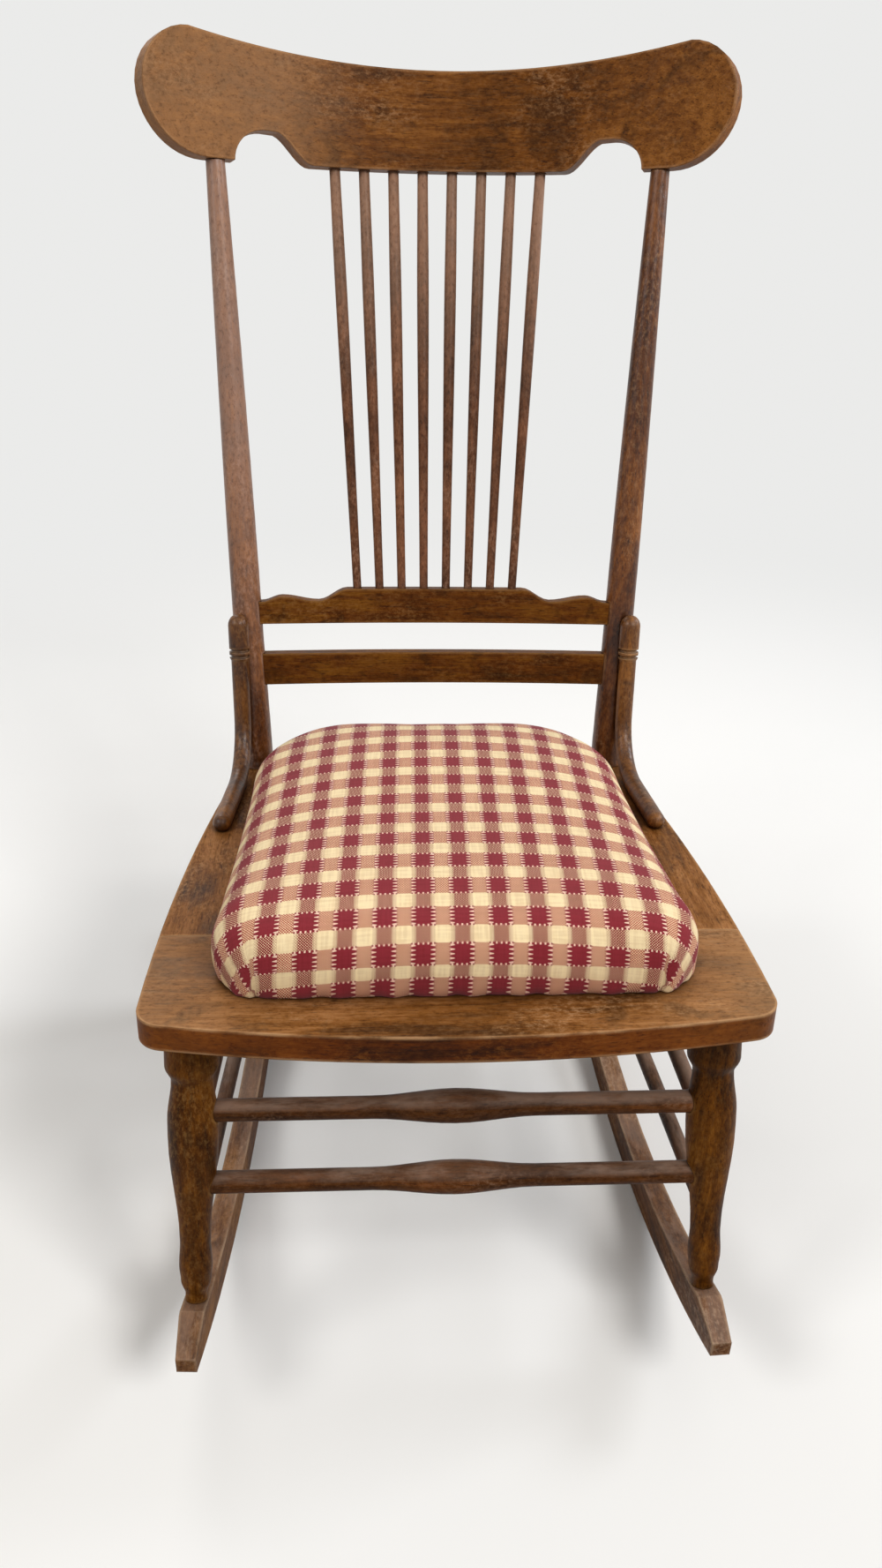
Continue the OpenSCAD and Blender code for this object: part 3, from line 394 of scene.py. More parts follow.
# Stretchers. Turned sticks that tie the legs together, swelling at the middle in front. Theirs is
# the darkest wood on the chair, and their tops are painted paler: dust, and a painted sheen.
stretcher_tones = ("744420", "55300f", "301806")
cross_wood = old_wood(
    "cross_wood",
    tones=stretcher_tones,
    bare="99745a",
    grain=ALONG_X,
    wear=0.7,
    dull=0.46,
    start=1.7,
    shine=0.08,
    dust_and_sheen=0.5,
)
side_wood = old_wood(
    "side_wood",
    tones=stretcher_tones,
    bare="99745a",
    grain=ALONG_Y,
    wear=0.7,
    dull=0.46,
    start=2.3,
    shine=0.08,
    dust_and_sheen=0.5,
)
dress(cross_wood, "front_stretcher_upper", "front_stretcher_lower", "rear_stretcher")
dress(
    side_wood,
    "side_stretcher_upper_left",
    "side_stretcher_upper_right",
    "side_stretcher_lower_left",
    "side_stretcher_lower_right",
)

# Hip braces. Steam-bent rods from the posts down to the seat, one each side, screwed at both
# ends. The turned head has two grooves under it.
brace_wood = old_wood(
    "brace_wood",
    tones=("9a6428", "6e4216", "3b1d08"),
    bare="b58a5c",
    grain=UPRIGHT,
    wear=0.7,
    dull=0.42,
    smudge=0.8,
    start=3.1,
    shine=0.35,
)
dress(brace_wood, "hip_brace_left", "hip_brace_right")

# Back rails. Two bent boards let into the posts: a plain one at the waist, and above it a sawn
# one that carries the spindles.
rail_wood = old_wood(
    "rail_wood",
    tones=("7e4f14", "60330a", "361b04"),
    bare="9b7040",
    grain=ALONG_X,
    wear=0.6,
    dull=0.5,
    smudge=0.7,
    shine=0.08,
)
dress(rail_wood, "waist_rail", "lower_back_rail")

# Spindles. Thin round sticks that fan out from the sawn rail to the crest, painted paler towards
# their tops: painted light against the shade under the crest, and wear. The grain runs on from
# one to the next, so that no two are alike.
spindle_wood = old_wood(
    "spindle_wood",
    tones=("8a5a3c", "684027", "402411"),
    bare="bc957a",
    grain=along_posts,
    wear=0.7,
    dull=0.46,
    start=0.2,
    shine=0.15,
    # Paler tops: painted light against the crest's shade, and wear.
    paler_stretches=[("Z", 0.66, 0.92, 0.5)],
)
dress(spindle_wood, *[f"spindle_{i}" for i in range(1, 9)])

# Crest rail. A wide board, bent and sawn to a yoke with two round ears, with dark smudges where
# it has been gripped and pale, rubbed edges. Its left part is painted paler: painted light.
crest_wood = old_wood(
    "crest_wood",
    tones=("965f26", "714110", "432406"),
    bare="b4865c",
    grain=ALONG_X,
    wear=0.8,
    dull=0.5,
    smudge=0.7,
    shine=0.1,
    # A paler left part: painted light.
    paler_stretches=[("X", -0.06, -0.16, 0.42)],
)
dress(crest_wood, "crest_rail")

# Pins and screws. Steel pins hold the crest's tenons; slotted steel screws hold the braces, the
# seat and the plywood. Their heads are brown with old rust.
steel, metal = empty_material("rusty_steel")
spot = put(metal, "ShaderNodeTexCoord").outputs["Object"]
rust = put(
    metal, "ShaderNodeTexNoise", {"Vector": spot, "Scale": 700, "Detail": 5, "Roughness": 0.7}
).outputs["Fac"]
rusted = fade(metal, rust, 0.40, 0.62)
pitted = put(
    metal, "ShaderNodeBump", {"Strength": 0.4, "Distance": 0.0002, "Height": rust}
).outputs[0]
shell = put(
    metal,
    "ShaderNodeBsdfPrincipled",
    {
        "Base Color": blend(metal, "MIX", rusted, colour("8d867c"), colour("4b3020")),
        "Metallic": fade(metal, rust, 0.40, 0.62, 1.0, 0.15),
        "Roughness": fade(metal, rust, 0.35, 0.65, 0.34, 0.75),
        "Normal": pitted,
    },
)
put(metal, "ShaderNodeOutputMaterial", {"Surface": shell.outputs[0]})
dress(steel, "crest_pins")


def applied(thing):
    """Turns a piece with modifiers into a plain mesh."""
    ready = bpy.context.evaluated_depsgraph_get()
    plain = bpy.data.meshes.new_from_object(thing.evaluated_get(ready))
    thing.modifiers.clear()
    thing.data = plain


def sticks(name):
    """Where each screw of a CAD piece is: its head's top, the way it points, its length."""
    mesh = bmesh.new()
    mesh.from_mesh(nodes[name].data)
    bmesh.ops.remove_doubles(mesh, verts=mesh.verts, dist=1e-6)
    left = set(mesh.verts)
    found = []
    while left:
        group, edge = set(), {left.pop()}
        while edge:
            group |= edge
            edge = {e.other_vert(v) for v in edge for e in v.link_edges} - group
        left -= group
        points = np.array([v.co for v in group])
        centre = points.mean(0)
        axis = np.linalg.svd(points - centre, full_matrices=False)[2][0]
        run = (points - centre) @ axis
        off = np.linalg.norm(points - centre - np.outer(run, axis), axis=1)
        # The head is the widest stretch, and the axis points away from it.
        if run[off.argmax()] > 0:
            axis, run = -axis, -run
        found.append((Vector(centre + axis * run.min()), Vector(axis), float(np.ptp(run))))
    mesh.free()
    return sorted(found, key=lambda f: tuple(round(x, 4) for x in f[0]))


def slotted_screws(name, cad_name):
    """Slotted screws with domed heads, in the places of a CAD piece's plain ones."""
    places = sticks(cad_name)
    points = bpy.data.meshes.new(name)
    points.from_pydata([top for top, _, _ in places], [], [])
    pointing = points.attributes.new("pointing", "FLOAT_VECTOR", "POINT")
    pointing.data.foreach_set("vector", [x for _, axis, _ in places for x in -axis])
    shank_run = points.attributes.new("length", "FLOAT", "POINT")
    shank_run.data.foreach_set("value", [run for _, _, run in places])
    screws = new_object(name, points)
    tree = bpy.data.node_groups.new(name, "GeometryNodeTree")
    sizes = {
        "Head Radius": 0.0039,
        "Head Depth": 0.0023,
        "Shank Radius": 0.0019,
        "Slot Width": 0.0009,
    }
    tree.interface.new_socket("Geometry", in_out="INPUT", socket_type="NodeSocketGeometry")
    for label, size in sizes.items():
        tree.interface.new_socket(
            label, in_out="INPUT", socket_type="NodeSocketFloat"
        ).default_value = size
    tree.interface.new_socket("Geometry", in_out="OUTPUT", socket_type="NodeSocketGeometry")
    given = put(tree, "NodeGroupInput").outputs

    # The head: a short cylinder with a flat dome on it, in shares of its depth and radius. The
    # slot's floor lies a little above the widest ring of the dome.
    head_sunk, dome_share, slot_length, slot_raised = 0.62, 0.2, 2.4, 0.53
    head = put(
        tree,
        "GeometryNodeMeshCylinder",
        {"Vertices": 28, "Radius": given["Head Radius"], "Depth": given["Head Depth"]},
    ).outputs["Mesh"]
    sunk = put(
        tree, "ShaderNodeCombineXYZ", {"Z": times(tree, given["Head Depth"], -head_sunk)}
    ).outputs[0]
    head = put(tree, "GeometryNodeTransform", {"Geometry": head, "Translation": sunk})
    dome = put(
        tree,
        "GeometryNodeMeshUVSphere",
        {"Segments": 28, "Rings": 12, "Radius": given["Head Radius"]},
    ).outputs["Mesh"]
    dome = put(tree, "GeometryNodeTransform", {"Geometry": dome, "Scale": (1, 1, dome_share)})
    whole = put(tree, "GeometryNodeMeshBoolean", operation="UNION", solver="EXACT")
    slot_size = put(
        tree,
        "ShaderNodeCombineXYZ",
        {
            "X": times(tree, given["Head Radius"], slot_length),
            "Y": given["Slot Width"],
            "Z": given["Head Depth"],
        },
    ).outputs[0]
    slot_bar = put(tree, "GeometryNodeMeshCube", {"Size": slot_size}).outputs["Mesh"]
    raised = put(
        tree, "ShaderNodeCombineXYZ", {"Z": times(tree, given["Head Depth"], slot_raised)}
    ).outputs[0]
    slot_bar = put(tree, "GeometryNodeTransform", {"Geometry": slot_bar, "Translation": raised})
    cut = put(tree, "GeometryNodeMeshBoolean", operation="DIFFERENCE", solver="EXACT")
    for part in (head, dome):
        tree.links.new(part.outputs[0], whole.inputs["Mesh 2"])
    tree.links.new(whole.outputs["Mesh"], cut.inputs["Mesh 1"])
    tree.links.new(slot_bar.outputs[0], cut.inputs["Mesh 2"])

    # The shank: a cylinder one metre long, from just under the head's top, that is scaled to
    # each screw's length.
    shank_down = 0.501
    shank = put(
        tree,
        "GeometryNodeMeshCylinder",
        {"Vertices": 16, "Radius": given["Shank Radius"], "Depth": 1.0},
    ).outputs["Mesh"]
    shank = put(
        tree, "GeometryNodeTransform", {"Geometry": shank, "Translation": (0, 0, -shank_down)}
    ).outputs[0]

    # Each screw points its own way, and its slot stands at an angle of its own.
    facing = put(
        tree, "GeometryNodeInputNamedAttribute", {"Name": "pointing"}, data_type="FLOAT_VECTOR"
    ).outputs["Attribute"]
    spin = put(
        tree,
        "FunctionNodeRandomValue",
        {"Min": 0.0, "Max": 3.1, "Seed": 4},
        data_type="FLOAT",
    )
    spun = put(tree, "ShaderNodeCombineXYZ", {"Z": spin.outputs[1]}).outputs[0]
    turned = put(
        tree, "FunctionNodeAlignRotationToVector", {"Vector": facing}, axis="Z"
    ).outputs[0]
    set_way = put(
        tree,
        "FunctionNodeRotateRotation",
        {"Rotation": turned, "Rotate By": spun},
        rotation_space="LOCAL",
    ).outputs[0]
    heads = put(
        tree,
        "GeometryNodeInstanceOnPoints",
        {"Points": given["Geometry"], "Instance": cut.outputs["Mesh"], "Rotation": set_way},
    ).outputs["Instances"]
    own_length = put(
        tree, "GeometryNodeInputNamedAttribute", {"Name": "length"}, data_type="FLOAT"
    ).outputs["Attribute"]
    own_size = put(
        tree, "ShaderNodeCombineXYZ", {"X": 1.0, "Y": 1.0, "Z": own_length}
    ).outputs[0]
    shanks = put(
        tree,
        "GeometryNodeInstanceOnPoints",
        {
            "Points": given["Geometry"],
            "Instance": shank,
            "Rotation": set_way,
            "Scale": own_size,
        },
    ).outputs["Instances"]
    set_in = put(tree, "GeometryNodeJoinGeometry")
    tree.links.new(heads, set_in.inputs[0])
    tree.links.new(shanks, set_in.inputs[0])
    real = put(tree, "GeometryNodeRealizeInstances", {"Geometry": set_in.outputs[0]}).outputs[0]
    coated = put(
        tree, "GeometryNodeSetMaterial", {"Geometry": real, "Material": steel}
    ).outputs[0]
    put(tree, "NodeGroupOutput", {"Geometry": coated})
    screws.modifiers.new("screws", "NODES").node_group = tree
    applied(screws)
    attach(screws, "root")
    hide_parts(cad_name)


slotted_screws("brace_screw_set", "brace_screws")
slotted_screws("seat_screw_set", "seat_screws")
slotted_screws("board_screw_set", "board_screws")

# Slip seat. A firm pad on the plywood, covered in one piece of checked homespun that is pulled
# over the edges and tacked below. It is crowned, and its cover is folded at the front corners.
# Its shape is worked out in the seat's own frame: x across, y from front to rear, z upwards.
seat_place = Matrix.Translation((0, -0.262, 0.364)) @ Matrix.Rotation(
    math.radians(-3.4), 4, "X"
)
pad_front, pad_rear = 0.004, 0.394
pad_half_front, pad_half_rear, side_draw = 0.187, 0.1738, 0.002
front_round, rear_round = 0.045, 0.088
pad_crown, rim_height, roll, wedge = 0.068, 0.0280, 0.0345, 0.115
arch_height, arch_half = 0.007, 0.125
ply_in, ply_thick = 0.016, 0.0083
end_steps, side_steps, corner_steps = 6, 10, 14
pad_middle = Vector((0, (pad_front + pad_rear) / 2))


def quarter_round(middle_x, middle_y, radius, first):
    """Points round a quarter circle, from an angle in degrees on."""
    turns = [math.radians(first + 90 * k / corner_steps) for k in range(corner_steps + 1)]
    return [(middle_x + radius * math.cos(a), middle_y + radius * math.sin(a)) for a in turns]


def pad_edge():
    """The pad's outline seen from above. One half is drawn, and the other mirrors it."""
    front_x, rear_x = pad_half_front - front_round, pad_half_rear - rear_round
    side_front, side_rear = pad_front + front_round, pad_rear - rear_round
    half = [(front_x * k / end_steps, pad_front) for k in range(end_steps)]
    half += quarter_round(front_x, side_front, front_round, -90)
    for k in range(1, side_steps):
        t = k / side_steps
        out_to = pad_half_front + (pad_half_rear - pad_half_front) * t
        out_to -= side_draw * math.sin(math.pi * t)
        half.append((out_to, side_front * (1 - t) + side_rear * t))
    half += quarter_round(rear_x, side_rear, rear_round, 0)
    half += [(rear_x * (1 - k / end_steps), pad_rear) for k in range(1, end_steps)]
    half.append((0.0, pad_rear))
    other = [(-x, y) for x, y in reversed(half[1:-1])]
    return [Vector(p) for p in half + other]


edge_line = pad_edge()


def ring(inset, share, height):
    """The outline drawn in by a distance, then scaled about its middle, at a height."""
    found = []
    for p in edge_line:
        d = p - pad_middle
        q = pad_middle + d * (1 - inset / d.length) * share
        found.append((q.x, q.y, height))
    return found


def loft(name, rings, low, high):
    """A closed skin over rings of points, with a point below and a point above."""
    count = len(rings[0])
    points = [p for r in rings for p in r] + [low, high]
    faces = []
    for k in range(len(rings) - 1):
        for i in range(count):
            j = (i + 1) % count
            a, b = k * count, (k + 1) * count
            faces.append((a + i, a + j, b + j, b + i))
    last, bottom, top = (len(rings) - 1) * count, len(points) - 2, len(points) - 1
    faces += [((i + 1) % count, i, bottom) for i in range(count)]
    faces += [(last + i, last + (i + 1) % count, top) for i in range(count)]
    mesh = bpy.data.meshes.new(name)
    mesh.from_pydata(points, [], faces)
    mesh.update()
    return mesh


def thicker(y):
    """The pad is a wedge: how much thicker it is at y than at its middle."""
    return 1 + wedge * (y - pad_middle.y) / (pad_rear - pad_middle.y)


def arched(x, y, z):
    """A height on the wedge. The crown is higher along the middle, more so to the rear."""
    rearward = max(0, (y - pad_middle.y) / (pad_rear - pad_middle.y))
    arch = arch_height * rearward * (1 - (x / arch_half) ** 2) * (z / pad_crown) ** 2
    return z * thicker(y) + arch


# The start shape is smaller than the pad by a slack, because the cover swells. From below: an
# upright rim that is drawn in at its foot, the roll of the edge, and the crown.
slack, foot_draw = 0.001, 0.0025
rim_steps, roll_steps, roll_turn = 4, 6, 75
crown_shares, crown_power = (0.94, 0.85, 0.7, 0.5, 0.25), 5
levels = [
    (slack + foot_draw * (1 - k / rim_steps) ** 2, 1, rim_height * k / rim_steps)
    for k in range(rim_steps + 1)
]
for k in range(1, roll_steps + 1):
    a = math.radians(roll_turn * k / roll_steps)
    levels.append(
        (slack + roll * (1 - math.cos(a)), 1, rim_height + (roll - slack) * math.sin(a))
    )
roll_inset, _, top_of_roll = levels[-1]
start_crown = pad_crown - slack
for share in crown_shares:
    rise = (start_crown - top_of_roll) * (1 - share**crown_power)
    levels.append((roll_inset, share, top_of_roll + rise))
skin_rings = [[(x, y, arched(x, y, z)) for x, y, z in ring(*level)] for level in levels]
pad = new_object(
    "slip_seat_cover",
    loft("slip_seat_cover", skin_rings, (0, pad_middle.y, 0), (0, pad_middle.y, start_crown)),
)
remesh = pad.modifiers.new("even_mesh", "REMESH")
remesh.mode = "VOXEL"
remesh.voxel_size = 0.005
applied(pad)

# The cover is blown up against its tacked lower edge, as padding presses it out.
tacked_height, blown_frames = 0.004, 20
fine_rounds, broad_rounds = 8, 80
broad_kept, dents_kept, most_move = 0.12, 0.15, 0.004
before = np.array([v.co for v in pad.data.vertices])
tacked = pad.vertex_groups.new(name="tacked")
low_points = np.flatnonzero(before[:, 2] < tacked_height)
tacked.add([int(i) for i in low_points], 1.0, "REPLACE")
cloth = pad.modifiers.new("stuffing", "CLOTH")
cloth.settings.quality = 6
cloth.settings.mass = 0.3
cloth.settings.tension_stiffness = 18
cloth.settings.compression_stiffness = 12
cloth.settings.shear_stiffness = 6
cloth.settings.bending_stiffness = 0.6
cloth.settings.use_pressure = True
cloth.settings.uniform_pressure_force = 4
cloth.settings.effector_weights.gravity = 0
cloth.settings.vertex_group_mass = "tacked"
cloth.collision_settings.use_collision = False
for step in range(1, blown_frames + 1):
    bpy.context.scene.frame_set(step)
applied(pad)
bpy.context.scene.frame_set(1)
after = np.array([v.co for v in pad.data.vertices])
ends = np.array([e.vertices[:] for e in pad.data.edges])
touching = np.bincount(ends.ravel(), minlength=len(before))[:, None]

def evened(field, rounds):
    """A field over the mesh, with each point drawn to the mean of its neighbours."""
    for _ in range(rounds):
        total = np.zeros_like(field)
        np.add.at(total, ends[:, 0], field[ends[:, 1]])
        np.add.at(total, ends[:, 1], field[ends[:, 0]])
        field = 0.4 * field + 0.6 * total / touching
    return field

# Firm padding fills out the creases of a slack cover: the swelling is evened, and only
# a little is left of the dents.
swell = evened(after - before, fine_rounds)
broad = evened(swell, broad_rounds)
move = broad_kept * broad + dents_kept * (swell - broad)
far = np.linalg.norm(move, axis=1, keepdims=True)
move *= np.minimum(1, most_move / np.maximum(far, 1e-9))
pad.data.vertices.foreach_set("co", (before + move).ravel().astype(np.float32))
smooth = pad.modifiers.new("finer", "SUBSURF")
smooth.levels = smooth.render_levels = 1
applied(pad)


def across_outline(points):
    """For each point: the nearest bit of the outline, and the way out from it."""
    line = np.array([tuple(p) for p in edge_line])
    legs = np.roll(line, -1, axis=0) - line
    gaps = points[:, None, :2] - line[None]
    share = np.clip((gaps * legs).sum(2) / (legs**2).sum(1), 0, 1)
    which = np.linalg.norm(gaps - share[..., None] * legs, axis=2).argmin(1)
    row = np.arange(len(points))
    near = line[which] + share[row, which, None] * legs[which]
    out = np.stack([legs[:, 1], -legs[:, 0]], 1)[which]
    return near, out / np.linalg.norm(out, axis=1, keepdims=True)


# At each front corner the cover is folded under itself, with a crease down the front and a low
# welt beside it. The fold fades out upwards.
points = np.array([v.co for v in pad.data.vertices])
near, out = across_outline(points)
crease_x, crease_lean, crease_width = 0.151, 0.10, 0.0030
welt_aside, welt_width, welt_share = 0.0065, 0.0035, 0.4
fold_top, fold_fade, fold_reach = 0.043, 0.018, 0.06
right_depth, left_depth = 0.0030, 0.0018
for side, depth in ((1, right_depth), (-1, left_depth)):
    from_crease = side * points[:, 0] - crease_x - crease_lean * points[:, 2]
    low = np.clip((fold_top - points[:, 2]) / fold_fade, 0, 1) * (points[:, 1] < fold_reach)
    fold = depth * np.exp(-((from_crease / crease_width) ** 2))
    welt = np.exp(-(((from_crease - welt_aside) / welt_width) ** 2))
    fold -= welt_share * depth * welt
    points[:, :2] -= out * (fold * low)[:, None]

# The lower edge is pulled in a little at every tack: two waves round the pad, one wide and one
# narrow, that fade out upwards.
round_radius, tuck_height, foot_gap = 0.19, 0.012, 0.0002
wide_tuck, wide_run, narrow_tuck, narrow_run = 0.0009, 0.0047, 0.0006, 0.0029
along = np.arctan2(near[:, 1] - pad_middle.y, near[:, 0]) * round_radius
tuck = wide_tuck * np.sin(along / wide_run) + narrow_tuck * np.sin(along / narrow_run + 1.1)
points[:, :2] += out * (tuck * np.clip(1 - points[:, 2] / tuck_height, 0, 1))[:, None]
points[:, 2] = np.maximum(points[:, 2], foot_gap)

# The loose pad lies a little askew, its rear nearer to the left side. Its foot stays in place.
askew, askew_from, askew_full = 0.0042, 0.004, 0.02
rearward = np.clip((points[:, 1] - pad_front) / (pad_rear - pad_front), 0, 1)
points[:, 0] -= askew * rearward * np.clip((points[:, 2] - askew_from) / askew_full, 0, 1)
pad.data.vertices.foreach_set("co", points.ravel().astype(np.float32))

# Below, the cover ends on the plywood, which is let into the padding.
ply_clear, ply_under = 0.0003, -0.01
ply_room = new_object(
    "ply_room",
    loft(
        "ply_room",
        [ring(ply_in - ply_clear, 1, z) for z in (ply_under, ply_thick)],
        (0, pad_middle.y, ply_under),
        (0, pad_middle.y, ply_thick),
    ),
)
let_in = pad.modifiers.new("ply", "BOOLEAN")
let_in.object = ply_room
let_in.operation = "DIFFERENCE"
let_in.solver = "EXACT"
applied(pad)
bpy.data.objects.remove(ply_room)

# How far along the cloth each point lies: straight across the top, then round the roll and
# down the side. Round a front corner the two sides of the crease are pulled their own way.
points = np.array([v.co for v in pad.data.vertices])
near, out = across_outline(points)
roll_height = np.clip((points[:, 2] / thicker(points[:, 1]) - rim_height) / roll, 0, 1)
bend = np.arccos(roll_height)
over = roll * (bend - np.sin(bend)) + np.clip(rim_height - points[:, 2], 0, None)
pull = np.degrees(np.arctan2(out[:, 1], np.abs(out[:, 0])))
in_front = pull < -1
crossed = np.abs(points[:, 0]) - crease_x - crease_lean * points[:, 2] > 0
side_turn, side_full, front_share = 52, 72, 0.35
to_side = -side_turn * np.clip(-pull / side_full, 0, 1)
to_front = -90 + (90 + pull) * front_share
turned = np.radians(np.where(in_front, np.where(crossed, to_side, to_front), pull))
out = np.stack([np.cos(turned) * np.sign(points[:, 0]), np.sin(turned)], 1)
cloth_place = points[:, :2] + out * over[:, None]

# The checks lie a little askew on the pad, and their rows bow forward towards the sides.
check_skew = math.radians(-1.7)
check_width, check_depth = 0.02865, 0.033
first_column, first_row = 0.0007, 0.068
bow_depth, bow_half, bow_most = 0.009, 0.14, 0.19
bow = bow_depth * (np.clip(np.abs(cloth_place[:, 0]), 0, bow_most) / bow_half) ** 2
column = cloth_place[:, 0] * math.cos(check_skew) + cloth_place[:, 1] * math.sin(check_skew)
column = (column - first_column) / check_width
row = (cloth_place[:, 1] + bow - first_row) / check_depth
checks = np.stack([column, row], 1)
cloth_map = pad.data.uv_layers.new(name="cloth")
loop_points = np.zeros(len(pad.data.loops), np.int32)
pad.data.loops.foreach_get("vertex_index", loop_points)
cloth_map.data.foreach_set("uv", checks[loop_points].ravel().astype(np.float32))
for face in pad.data.polygons:
    face.use_smooth = True

# The fabric: burgundy and cream stripes both ways, woven plain from yarns a millimetre thick,
# with short pale stitches along the edges of every burgundy square.
homespun, weave = empty_material("checked_homespun")
laid = put(weave, "ShaderNodeUVMap", uv_map="cloth").outputs[0]
apart = put(weave, "ShaderNodeSeparateXYZ", {"Vector": laid}).outputs
across, along = apart["X"], apart["Y"]


def from_line(place):
    """How far a place lies from the middle of the nearest burgundy stripe, in checks."""
    return sums(weave, "PINGPONG", place, 0.5)


def wave(place, yarns):
    """A wave with so many yarns to a check, every second one above."""
    return sums(weave, "SINE", times(weave, place, math.pi * yarns))


def uneven(stretch):
    """Thick and thin places along the yarns."""
    pulled = put(weave, "ShaderNodeMapping", {"Vector": laid, "Scale": stretch}).outputs[0]
    return put(
        weave, "ShaderNodeTexNoise", {"Vector": pulled, "Scale": 1.0, "Detail": 3}
    ).outputs["Fac"]


# The stripes. A burgundy warp stripe is solid at its middle and thins out in bars to each side;
# a weft stripe is lighter. Where the warp is burgundy more of it shows than of the weft.
warp_yarns, weft_yarns = 28, 32
warp_bars = (
    (0.0, 1.0),
    (0.165, 1.0),
    (0.19, 0.8),
    (0.205, 0.5),
    (0.218, 0.7),
    (0.235, 0.4),
    (0.28, 0.4),
    (0.318, 0.0),
)
cream, wine, rose = colour("f7e0b2"), colour("8a2831"), colour("b04c42")
stitch_pale, slub_shade = colour("f6d0b8"), colour("c9ad98")
warp_far, weft_far = from_line(across), from_line(along)
warp = ramped(weave, warp_far, [(place, (red, red, red, 1)) for place, red in warp_bars])
weft = fade(weave, weft_far, 0.290, 0.262)
crossing = times(weave, wave(across, warp_yarns), wave(along, weft_yarns))
lean = sums(weave, "SUBTRACT", times(weave, weft, 0.16), times(weave, warp, 0.42))
warp_on_top = fade(weave, sums(weave, "SUBTRACT", crossing, lean), -0.08, 0.08)
warp_colour = blend(weave, "MIX", warp, cream, wine)
weft_colour = blend(weave, "MIX", weft, cream, rose)
dyed = blend(weave, "MIX", warp_on_top, weft_colour, warp_colour)
beside_square = times(weave, fade(weave, warp_far, 0.38, 0.30, 0.0, 0.25), weft)
dyed = blend(weave, "MIX", beside_square, dyed, wine)
square = times(weave, fade(weave, warp_far, 0.322, 0.306), fade(weave, weft_far, 0.300, 0.286))
dyed = blend(weave, "MIX", square, dyed, wine)


def stitches(far, run, other_far, middle, reach, rate, widening):
    """Short pale dashes over the edge of a burgundy square, side by side. They lie as far
    as middle from the stripe's line and reach so far each way, and widen outwards."""
    outward = sums(weave, "SUBTRACT", far, middle)
    near = fade(weave, sums(weave, "ABSOLUTE", outward), reach, reach * 0.8)
    beat = sums(weave, "FRACT", times(weave, run, rate))
    aside = sums(weave, "PINGPONG", beat, 0.5)
    thin = sums(weave, "SUBTRACT", aside, times(weave, outward, widening))
    dash = fade(weave, thin, 0.215, 0.145)
    inside = fade(weave, other_far, 0.300, 0.280)
    return times(weave, times(weave, near, dash), inside)


stitch = sums(
    weave,
    "MAXIMUM",
    stitches(
        warp_far, along, weft_far, middle=0.252, reach=0.066, rate=9.0, widening=1.75
    ),
    stitches(
        weft_far, across, warp_far, middle=0.270, reach=0.030, rate=8.0, widening=0.0
    ),
)
dyed = blend(weave, "MIX", stitch, dyed, stitch_pale)
slub = sums(weave, "ADD", uneven((14, 0.9, 1)), uneven((0.9, 14, 1)))
dyed = blend(weave, "MULTIPLY", fade(weave, slub, 0.8, 1.25, 0.0, 0.30), dyed, slub_shade)
thickness = sums(weave, "ADD", sums(weave, "ABSOLUTE", crossing), times(weave, stitch, 1.4))
yarn_relief = put(
    weave, "ShaderNodeBump", {"Strength": 0.5, "Distance": 0.0003, "Height": thickness}
).outputs[0]
cotton = put(
    weave,
    "ShaderNodeBsdfPrincipled",
    {
        "Base Color": dyed,
        "Roughness": 0.9,
        "Specular IOR Level": 0.15,
        "Sheen Weight": 0.12,
        "Sheen Roughness": 0.5,
        "Normal": yarn_relief,
    },
)
put(weave, "ShaderNodeOutputMaterial", {"Surface": cotton.outputs[0]})
pad.data.materials.clear()
pad.data.materials.append(homespun)
pad.data.transform(seat_place)
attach(pad, "root")
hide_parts("seat_cushion")

# Studio. A pale round paper floor that curves up into a wall, soft round lamps in front, at both
# sides and behind, and an even pale surround.
around, flat_radius, floor_reach, sweep, wall_height = 96, 2.0, 4.5, 1.5, 3.4
profile = [(flat_radius, 0.0), (floor_reach, 0.0)]
profile += [
    (
        floor_reach + sweep * math.sin(math.radians(a)),
        sweep - sweep * math.cos(math.radians(a)),
    )
    for a in range(10, 91, 10)
]
profile.append((floor_reach + sweep, wall_height))
floor_points, floor_faces = [], []
for radius, height in profile:
    for k in range(around):
        a = 2 * math.pi * k / around
        floor_points.append((radius * math.cos(a), radius * math.sin(a), height))
for r in range(len(profile) - 1):
    for k in range(around):
        j = (k + 1) % around
        floor_faces.append(
            (r * around + k, r * around + j, (r + 1) * around + j, (r + 1) * around + k)
        )
floor_faces.append(tuple(range(around)))
ground = bpy.data.meshes.new("studio_floor")
ground.from_pydata(floor_points, [], floor_faces)
turned_up = bmesh.new()
turned_up.from_mesh(ground)
bmesh.ops.recalc_face_normals(turned_up, faces=turned_up.faces)
turned_up.to_mesh(ground)
turned_up.free()
for face in ground.polygons:
    face.use_smooth = True
floor = new_object("studio_floor", ground)


def showing(tree):
    """1 for the rays that show the background: straight, in a gloss, or through glass."""
    ray = put(tree, "ShaderNodeLightPath").outputs
    not_straight = sums(tree, "MAXIMUM", ray["Is Glossy Ray"], ray["Is Transmission Ray"])
    return sums(tree, "MAXIMUM", ray["Is Camera Ray"], not_straight)


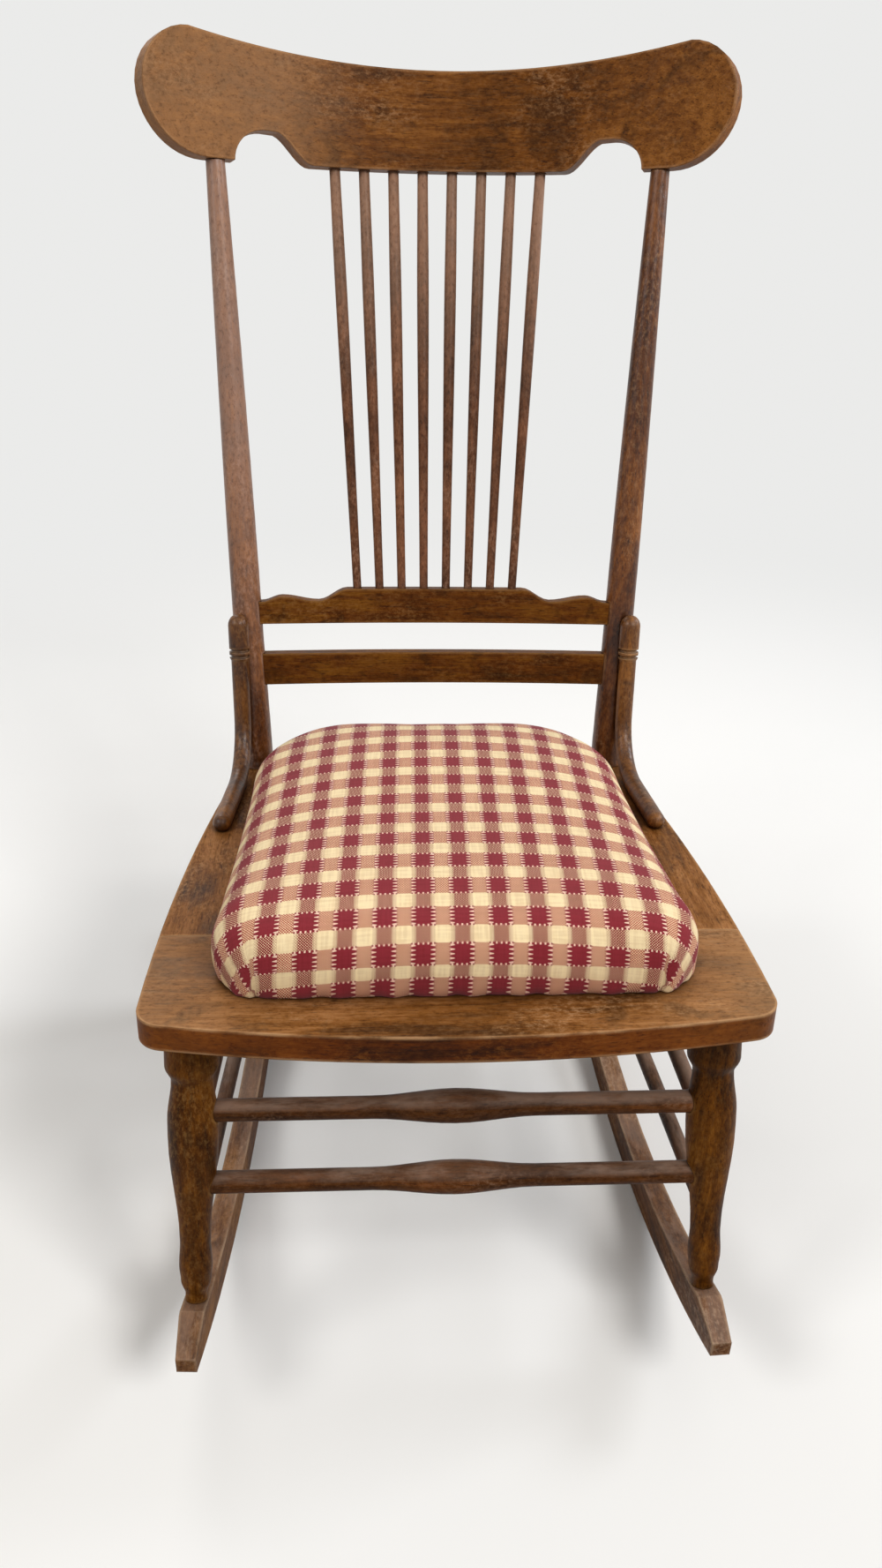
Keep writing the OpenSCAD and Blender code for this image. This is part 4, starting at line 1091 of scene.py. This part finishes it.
# The paper keeps the chair's shadow near by and fades into the surround's colour further off.
# The light that it throws back on the chair is that of a grey floor.
backdrop = (0.83, 0.83, 0.82, 1)
lit_paper, seen_paper = (0.38, 0.36, 0.34, 1), (0.90, 0.89, 0.87, 1)
paper, sheet = empty_material("studio_paper")
distance = put(
    sheet,
    "ShaderNodeVectorMath",
    {0: put(sheet, "ShaderNodeTexCoord").outputs["Object"]},
    operation="LENGTH",
).outputs["Value"]
viewed = showing(sheet)
seen_far = times(sheet, viewed, fade(sheet, distance, 0.7, 2.2))
paper_colour = blend(sheet, "MIX", viewed, lit_paper, seen_paper)
matt = put(sheet, "ShaderNodeBsdfDiffuse", {"Color": paper_colour, "Roughness": 0.9})
glow = put(sheet, "ShaderNodeEmission", {"Color": backdrop, "Strength": 1.0})
paper_face = put(
    sheet, "ShaderNodeMixShader", {0: seen_far, 1: matt.outputs[0], 2: glow.outputs[0]}
)
put(sheet, "ShaderNodeOutputMaterial", {"Surface": paper_face.outputs[0]})
ground.materials.append(paper)


def soft_light(name, place, aim_height, size, power, tint=(1.0, 1.0, 1.0)):
    """A round soft lamp, aimed at a height over the middle of the floor."""
    light = bpy.data.lights.new(name, "AREA")
    light.shape = "DISK"
    light.size = size
    light.energy = power
    light.color = tint
    lamp = new_object(name, light)
    lamp.location = place
    aim = Vector((0, 0, aim_height)) - Vector(place)
    lamp.rotation_euler = aim.to_track_quat("-Z", "Y").to_euler()


soft_light("front_light", (1.7, -2.3, 2.7), aim_height=0.5, size=1.3, power=62)
soft_light(
    "right_light", (2.4, 0.5, 1.7), aim_height=0.5, size=0.9, power=34, tint=(0.88, 0.93, 1.0)
)
soft_light("left_light", (-2.2, -1.3, 2.3), aim_height=0.8, size=1.2, power=26)
soft_light("back_light", (-0.9, 2.5, 2.6), aim_height=0.6, size=1.5, power=22)

surround = bpy.data.worlds.new("surround")
bpy.context.scene.world = surround
surround.use_nodes = True
sky = surround.node_tree
sky.nodes.clear()
lit = put(sky, "ShaderNodeBackground", {"Color": (1.0, 0.98, 0.95, 1), "Strength": 0.5})
shown = put(sky, "ShaderNodeBackground", {"Color": backdrop, "Strength": 1.0})
sky_light = put(
    sky, "ShaderNodeMixShader", {0: showing(sky), 1: lit.outputs[0], 2: shown.outputs[0]}
)
put(sky, "ShaderNodeOutputWorld", {"Surface": sky_light.outputs[0]})
bpy.context.scene.view_settings.view_transform = "Standard"
